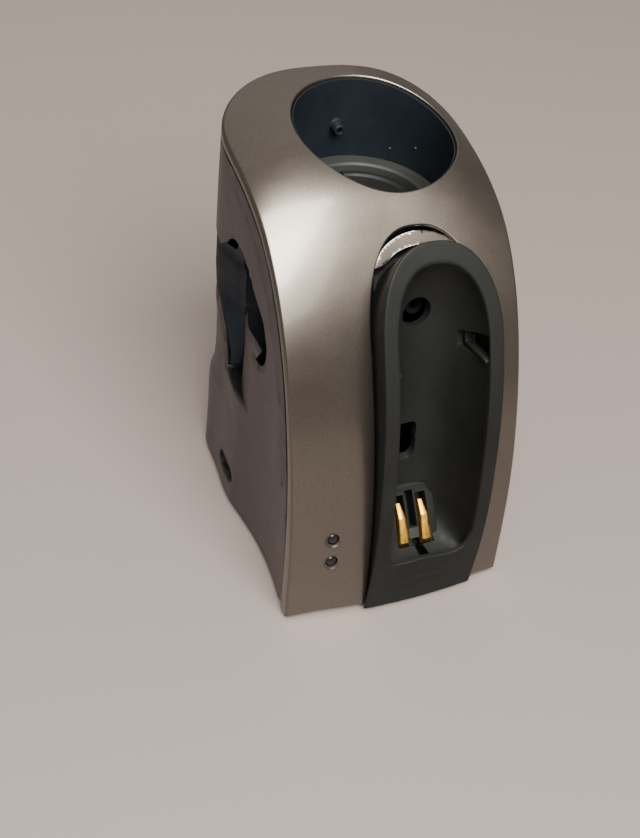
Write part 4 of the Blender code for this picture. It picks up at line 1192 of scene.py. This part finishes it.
def cradle_rings():
    """(ring, share, rounding) from the rim's outer edge in to the middle line."""
    per_mm = 1 / (CRADLE_HALF * RIM_FLARE)
    rings = []
    for k in range(7):
        angle = math.pi / 2 * k / 6
        rings.append((1 - RIM_ROUND * per_mm * (1 - math.cos(angle)), 0.0, RIM_ROUND * (1 - math.sin(angle))))
    flat_start = rings[-1][0]
    flat_end = RIM_INNER + RIM_INNER_ROUND * per_mm
    rings += [(flat_start + (flat_end - flat_start) * k / 5, 0.0, 0.0) for k in range(1, 5)]
    for k in range(5):
        angle = math.pi / 2 * k / 5
        ring = flat_end - RIM_INNER_ROUND * per_mm * math.sin(angle)
        rings.append((ring, 0.0, RIM_INNER_ROUND * (1 - math.cos(angle))))
    for k in range(1, 31):
        angle = math.pi / 2 * k / 30
        share = math.sin(angle) ** (2 / TROUGH_POWER)
        ring = RIM_INNER * max(math.cos(angle), 0.0) ** (2 / RING_POWER)
        rings.append((ring if k < 30 else 0.0, share, RIM_INNER_ROUND * max(1 - share * 6, 0)))
    return rings


def latch_frame():
    """Where the latches' own axes lie: along a slanted line up the cradle's side walls."""
    return Matrix.Translation((0, *LATCH_PLACE)) @ Matrix.Rotation(math.radians(-LATCH_SLANT), 4, "X")


def cradle():
    """The dark trough that holds the groomer, with its proud rim and its openings."""
    path = cradle_rows()
    shape = bmesh.new()
    layers = []
    for ring, share, rounding in reversed(cradle_rings()):
        layers.append([shape.verts.new(cradle_front(ring, along, share, rounding)) for along in path])
    for ring, depth in ((1.0, -0.6), (0.985, 2.0), (0.97, None)):
        spots = [cradle_measure(ring, along) for along in path]
        row = [cradle_skin(x, s, TROUGH(s) + TROUGH_WALL if depth is None else depth) for x, s in spots]
        layers.append([shape.verts.new(point) for point in row])
    back = layers[-1]
    for first, second in zip(layers, layers[1:]):
        for i in range(len(path) - 1):
            shape.faces.new((first[i], first[i + 1], second[i + 1], second[i]))
    last = len(path) - 1
    for i in range(len(path) // 2 - 1):
        shape.faces.new((back[i], back[i + 1], back[last - i - 1], back[last - i]))
    shape.faces.new([layer[0] for layer in layers] + [layer[-1] for layer in reversed(layers)])
    bmesh.ops.remove_doubles(shape, verts=shape.verts, dist=1e-4)
    bmesh.ops.triangulate(shape, faces=[face for face in shape.faces if len(face.verts) > 4])
    made = piece("cradle_trough", shape, CHARCOAL, "dark", "cradle")
    cutters = [port_cutter(), hook_cutter(), block_cutter(), latch_cutter(-1), latch_cutter(1)]
    cut(made, *cutters, foot_slot_cutter())
    cradle_lip()


LIP_TOP = (
    (-15.8, 27.0), (-15.0, 23.0), (-13.6, 20.6), (-10.5, 20.0), (-4, 20.4), (2, 20.1), (8, 19.6),
    (12.2, 20.4), (14.3, 23.4), (15.4, 29.0),
)


def cradle_lip():
    """The ridge across the foot of the trough, turning up into the rim at its right end."""
    top = smooth_path(LIP_TOP, 50)
    to_top = Line(top)
    foot = level(16.6, -16.6, 13.0, 28) + [(-16.6, s) for s in (16.0, 20.0, 24.0)]

    def front(x, s):
        return skin(x, s, -PROUD(s) - 0.04 + round_over(to_top.distance(x, s), 0.75))

    lines = [[(x + 0.05, s - d) for x, s in top[2:-2]] for d in (0.12, 0.4, 0.75)]
    side = [(16.6, s) for s in (28.0, 24.0, 20.0, 16.0)]
    shape = sheet(top + side + foot, [], 1.1, front, lambda x, s: skin(x, s, 1.7 - PROUD(s)), lines)
    piece("cradle_lip", shape, CHARCOAL, "dark")


def port_cutter():
    """The round port for the nozzle, narrowing a little inwards."""
    outline = [(0, -20), (PORT_MOUTH, -20), (PORT_END, 16), (0, 16)]
    return placed(turned(outline, 56), (0, 1, -0.2), PORT_PLACE)


def hook_cutter():
    """The D-shaped hole in the trough's back wall."""
    corners = [(-4.2, 42.9), (0.4, 42.9), (2.1, 45.0), (2.3, 49.2), (1.9, 50.4), (2.3, 51.8), (2.2, 55.2),
               (1.2, 56.3), (-4.2, 56.3)]
    loop = eased_loop(corners, 0.9)
    sizes = ((2, 1.04), (20.6, 1.04), (22.6, 1.0), (40, 1.0))
    middle = HOOK_MIDDLE_Z
    return stacked([[(x * grow, y, middle + (z - middle) * grow) for x, z in loop] for y, grow in sizes])


def block_cutter():
    front, low, high = RAMP_FOOT[0] - 0.2, RAMP_FOOT[1] - 4, RAMP_TOP[1] + 0.8
    loop = [(34, low), (34, high), (front, high), (front, low)]
    return prism(loop, -BLOCK_HALF + 2.2, BLOCK_HALF - 2.2)


def latch_cutter(side):
    """The slanted opening in a side wall of the cradle."""
    loop = eased_loop([(-7.2, -6.2), (7.2, -2.6), (7.2, 2.9), (-7.2, 2.9)], 0.5)
    shape = prism(loop, *(side * out for out in LATCH_HOLE_SPAN))
    shape.transform(latch_frame())
    return shape


def latch(name, side):
    """A latch finger: a ledge along its opening's lower edge and a post at the rear end."""
    loop = [(-6.7, -5.7), (6.7, -2.4), (6.7, 2.4), (4.9, 2.4), (4.9, -1.2), (-5.4, -4.0), (-6.7, -4.8)]
    shape = prism(eased_loop(loop, 0.5), *(side * out for out in LATCH_SPAN), bevel=0.35)
    for vert in shape.verts:
        if abs(vert.co.x) < 15.5:
            vert.co.x += side * 0.16 * max(-vert.co.y, 0) * 0.5
    shape.transform(latch_frame())
    piece(name + "_finger", shape, CHARCOAL, "dark", name, body=name + "_body")


def ramp_point(x, along, proud):
    """A point on the contact ramp, along it from its foot and proud of it."""
    up = Vector((0, RAMP_TOP[0] - RAMP_FOOT[0], RAMP_TOP[1] - RAMP_FOOT[1])).normalized()
    out = Vector((0, -up.z, up.y))
    return Vector((x, *RAMP_FOOT)) + float(along) * up + float(proud) * out


def ramp_prism(outline, x_low, x_high, bevel=0.0):
    """An outline given as (along, proud) on the ramp, extruded along x."""
    return prism([ramp_point(0, *point).yz for point in outline], x_low, x_high, bevel)


def contact_block():
    """The raised block in the cradle's foot, with a slot for each contact and one between them."""
    rear = RAMP_TOP[0] + 4
    crest = [(RAMP_TOP[0] + 0.7, RAMP_TOP[1] + 0.45), (RAMP_TOP[0] - 0.4, RAMP_TOP[1] + 0.15)]
    places = np.linspace(20, 1, 9)
    face = [tuple(ramp_point(0, along, 0.7 * math.sin(math.pi * along / 22)).yz) for along in places]
    y, z = RAMP_FOOT
    foot = [(y + 0.1, z + 0.6), (y, z - 3), (rear, z - 3)]
    shape = prism([(rear, RAMP_TOP[1] + 0.6), *crest, *face, *foot], -BLOCK_HALF, BLOCK_HALF, bevel=0.45)
    made = piece("contact_ramp", shape, CHARCOAL, "dark", "contact_block")
    out = CONTACT_PITCH / 2
    for x, half, low, high in ((-out, 2.0, 0.9, 19.4), (0, 1.5, 5.4, 20.6), (out, 2.0, 0.9, 19.4)):
        slot = eased_loop([(low, 4), (high, 4), (high, -5), (low, -5)], 0.4)
        cut(made, ramp_prism(slot, x - half, x + half))
    cut(made, foot_slot_cutter())
    bar = ramp_prism([(4.2, -3), (4.2, 0.9), (7.8, 1.1), (7.8, -3)], -1.9, 1.9, bevel=0.25)
    piece("contact_bar", bar, RIM_GREY, "dark", "contact_bridge")


def foot_slot_cutter():
    """The slot below the contacts' bar, wider towards the foot."""
    rings = []
    for along, left, right in ((-3.0, -0.6, 3.4), (2.0, -0.9, 2.2), (7.0, -1.3, 1.3)):
        corners = [(left, -5), (right, -5), (right, 6), (left, 6)]
        rings.append([ramp_point(x, along, proud) for x, proud in corners])
    return stacked(rings)


def contact(name, side):
    """One gold blade, narrow at the top and facetted, with a worn lower end."""
    x = side * CONTACT_PITCH / 2
    outline = [(1.7, 0.1), (3.4, 2.2), (11.8, 2.2), (16.8, -0.2), (15.8, -2.0), (2.4, -1.6)]
    rings = []
    for k, across in enumerate((-1, -0.55, 0.55, 1)):
        ring = []
        for along, proud in outline:
            width = CONTACT_WIDTH / 2 * (1.08 - 0.62 * smooth((along - 7) / 10))
            lower = 0.35 if k in (0, 3) and proud > 0 else 0.0
            ring.append(ramp_point(x + across * width, along, proud - lower))
        rings.append(ring)
    shape = stacked(rings)
    bmesh.ops.recalc_face_normals(shape, faces=shape.faces)
    down = (ramp_point(0, 0, 0) - ramp_point(0, 1, 0)).normalized()
    for made_face in shape.faces:
        if made_face.normal.dot(down) > 0.5:
            made_face.material_index = 1
    edges = [edge for edge in shape.edges if edge.calc_face_angle(0) > 0.35]
    bmesh.ops.bevel(shape, geom=edges, offset=0.08, segments=2, profile=0.5, affect="EDGES")
    piece(name + "_blade", shape, (GOLD, COPPER), "gold", name, body=name + "_body", sharp=18)


KEY_UPPER = (
    (-15.6, 118.2), (-13.2, 122.3), (-7.9, 126.0), (-2.6, 127.5), (2.6, 127.5), (7.9, 126.0), (13.2, 122.3),
    (15.6, 118.2),
)
KEY_LOWER = (
    (14.6, 118.2), (12.4, 118.8), (10.6, 119.9), (8.6, 121.4), (5.6, 122.6), (2.2, 123.3),
    (-2.2, 123.3), (-5.6, 122.6), (-8.6, 121.4), (-10.6, 119.9), (-12.4, 118.8), (-14.6, 118.2),
)


def crescent_key():
    """The silver crescent over the cradle's arch, with a finger scoop under it coloured charcoal as painted
    shade.
    """
    upper = smooth_path(KEY_UPPER, 60)
    lower = smooth_path(KEY_LOWER, 60)
    to_edge = Line(upper + lower, True)
    ring = eased_loop(upper + lower, 0.4, 2)

    def cap(x, s):
        return skin(x, s, 0.05 + round_over(to_edge.distance(x, s), 0.2))

    lines = [inset(upper + lower, -0.06), inset(upper + lower, -0.19)]
    shape = sheet(ring, [], 0.8, cap, lambda x, s: skin(x, s, 2.4), [line[2:-3] for line in lines])
    piece("release_key", shape, SILVER, "silver", "crescent_key", body="crescent_key_body")
    scoop_top = [(x * 0.985, s - 1.0) for x, s in upper]
    foot = level(15.2, -15.2, SLOT_SPRING_S + 17.5, 30)

    def hollow(x, s):
        return skin(x, s, 2.3 + 2.2 * smooth((between(x, lower[::-1]) + 0.4 - s) / 2.4))

    # painted shade: the scoop, the key's silver lying in shade, is coloured charcoal
    shape = sheet(scoop_top + foot, [], 1.0, hollow, lambda x, s: skin(x, s, 5.6))
    piece("key_scoop_shade", shape, CHARCOAL, "dark", body="crescent_key_body")


# ---------------------------------------------------------------- lights, inlet, inner works

def lights():
    for name, (x, z) in zip(("light_guide_upper", "light_guide_lower"), LIGHTS):
        s = s_at_height(z)
        point = Vector(skin(x, s, DIMPLE_DEPTH))
        inward = (Vector(skin(x, s, 1)) - Vector(skin(x, s, 0))).normalized()
        turns = np.linspace(0, math.pi / 2, 8)
        dome = [(LIGHT_RADIUS * math.sin(a), 0.55 - 0.9 * math.cos(a)) for a in turns]
        shape = placed(turned(dome + [(LIGHT_RADIUS, 3.6), (0, 3.6)], 40), inward, point)
        piece(name + "_dome", shape, LENS, "lens", name)


def power_inlet():
    """The two-pin inlet: its body with a waisted recess for the plug, and two round-nosed pins."""
    x = wall_point(INLET_Y, INLET_Z, 0)[0]
    shape = prism(inlet_loop(-GAP, -GAP), x + 0.3, x + 13, bevel=0.25)
    made = piece("power_inlet", shape, CHARCOAL, "dark", "inlet_body")
    cut(made, prism(inlet_loop(-1.1, -0.9, waist=0.34, count=48), x - 3, x + 6))
    for name, side in (("inlet_pin_front", -1), ("inlet_pin_rear", 1)):
        nose = [(1.2 * math.sin(a), 1.2 - 1.2 * math.cos(a)) for a in np.linspace(0, math.pi / 2, 6)]
        pin = turned(nose + [(1.2, 12.0), (0, 12.0)], 28)
        shape = placed(pin, (1, 0, 0), (x + 1.6, INLET_Y + side * PIN_PITCH / 2, INLET_Z))
        piece(name + "_rod", shape, STEEL, "steel", name)


def middle_of(node):
    """The middle of a node's box, in stand millimetres."""
    return [((low + high) / 2 - place) / MM for low, high, place in zip(*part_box(node), PLACE)]


FOOT_OUTLINE = ((0, 0.15), (3.2, 0.15), (3.6, 0), (4.5, 0), (5, 0.5), (5, 1.2), (0, 1.2))
SCREW_OUTLINE = ((0, -1.5), (2.3, -1.5), (2.9, -1.0), (2.9, -0.35), (1.3, -0.35), (1.3, 8.6), (0, 10))


def feet_and_screws():
    """The rubber feet, and the screws with crossed heads."""
    for i in range(1, 5):
        x, y, _ = middle_of(f"foot_{i}")
        shape = spun(FOOT_OUTLINE, 0.3, 48, (0, 0, 1), (x, y, -1.6))
        piece(f"rubber_foot_{i}", shape, RUBBER, "foot", f"foot_{i}")
        x, y, _ = middle_of(f"base_screw_{i}")
        shape = spun(SCREW_OUTLINE, 0.25, 36, (0, 0, 1), (x, y, 0))
        made = piece(f"screw_{i}", shape, STEEL, "steel", f"base_screw_{i}")
        for wide, deep in ((1.6, 0.3), (0.3, 1.6)):
            slot = [(x - wide, y - deep), (x + wide, y - deep), (x + wide, y + deep), (x - wide, y + deep)]
            cut(made, prism(slot, -3, -0.7, axis="Z"))


KEPT_LOOKS = {
    "base_plate": BLACK, "refill_nozzle": NOZZLE_SHADE_BLACK, "refill_pump": SMOKE, "dosing_tube": SMOKE,
    "led_upper": TINTED, "led_lower": TINTED, "circuit_board": BOARD, "charging_coil": COPPER,
    "coil_core": STEEL, "supply_wire_front": RUBBER, "supply_wire_rear": RUBBER,
}


def dress_kept_nodes():
    for name, look in KEPT_LOOKS.items():
        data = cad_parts[name].data
        data.materials.clear()
        data.materials.append(look)


# ---------------------------------------------------------------- room and camera

CAMERA_PLACE = (-166.0, -233.7, 324.2)
CAMERA_FORWARD = (0.3419, 0.6625, -0.6665)
CAMERA_RIGHT = (0.9241, -0.3658, 0.1104)
FOCAL_LENGTH = 53.15


def camera():
    forward = Vector(CAMERA_FORWARD).normalized()
    right = Vector(CAMERA_RIGHT)
    right = (right - forward * right.dot(forward)).normalized()
    up = right.cross(forward)
    data = bpy.data.cameras.new("camera")
    data.sensor_width = 36
    data.lens = FOCAL_LENGTH
    data.clip_start = 0.01
    made = new_object("camera", data)
    turn = Matrix((right, up, -forward)).transposed().to_4x4()
    made.matrix_world = Matrix.Translation(PLACE + Vector(CAMERA_PLACE) * MM) @ turn
    bpy.context.scene.camera = made


def soft_light(name, place, size, power, colour=(1, 1, 1), sheen=False):
    data = bpy.data.lights.new(name, "AREA")
    data.shape = "RECTANGLE"
    data.size, data.size_y = size
    data.energy = power
    data.color = colour
    made = new_object(name, data)
    made.location = place
    made.rotation_euler = (Vector((0, 0, 0.07)) - Vector(place)).to_track_quat("-Z", "Y").to_euler()
    made.visible_diffuse = not sheen


def room():
    shape = bmesh.new()
    bmesh.ops.create_grid(shape, x_segments=1, y_segments=1, size=12)
    data = bpy.data.meshes.new("table_top")
    shape.to_mesh(data)
    shape.free()
    table = new_object("table_top", data)
    look = Nodes("table_top", (0.47, 0.39, 0.365), 0.6)
    look.colour(look.mix(look.ramp(look.noise(2, 2), 0.3, 0.7), (0.46, 0.383, 0.358), (0.48, 0.397, 0.372)))
    table.data.materials.append(look.material)
    world = bpy.data.worlds.new("room")
    bpy.context.scene.world = world
    world.use_nodes = True
    background = world.node_tree.nodes["Background"]
    background.inputs["Color"].default_value = (0.62, 0.57, 0.53, 1)
    background.inputs["Strength"].default_value = 0.42
    soft_light("key_light", (-0.1, -1.0, 1.35), (1.3, 1.2), 44, (1, 0.965, 0.90))
    soft_light("sheen_light", (-0.17, -0.54, 1.65), (1.1, 1.3), 145, (1, 0.985, 0.93), sheen=True)
    soft_light("back_light", (0.2, 1.6, 1.5), (2.2, 1.2), 4, (1, 0.95, 0.86), sheen=True)


def main():
    camera()
    room()
    front_shell()
    rear_housing()
    bottle_guard()
    well_liner()
    locating_nub()
    well_platform()
    cradle()
    contact_block()
    contact("contact_left", -1)
    contact("contact_right", 1)
    crescent_key()
    latch("latch_left", -1)
    latch("latch_right", 1)
    lights()
    power_inlet()
    feet_and_screws()
    dress_kept_nodes()


main()
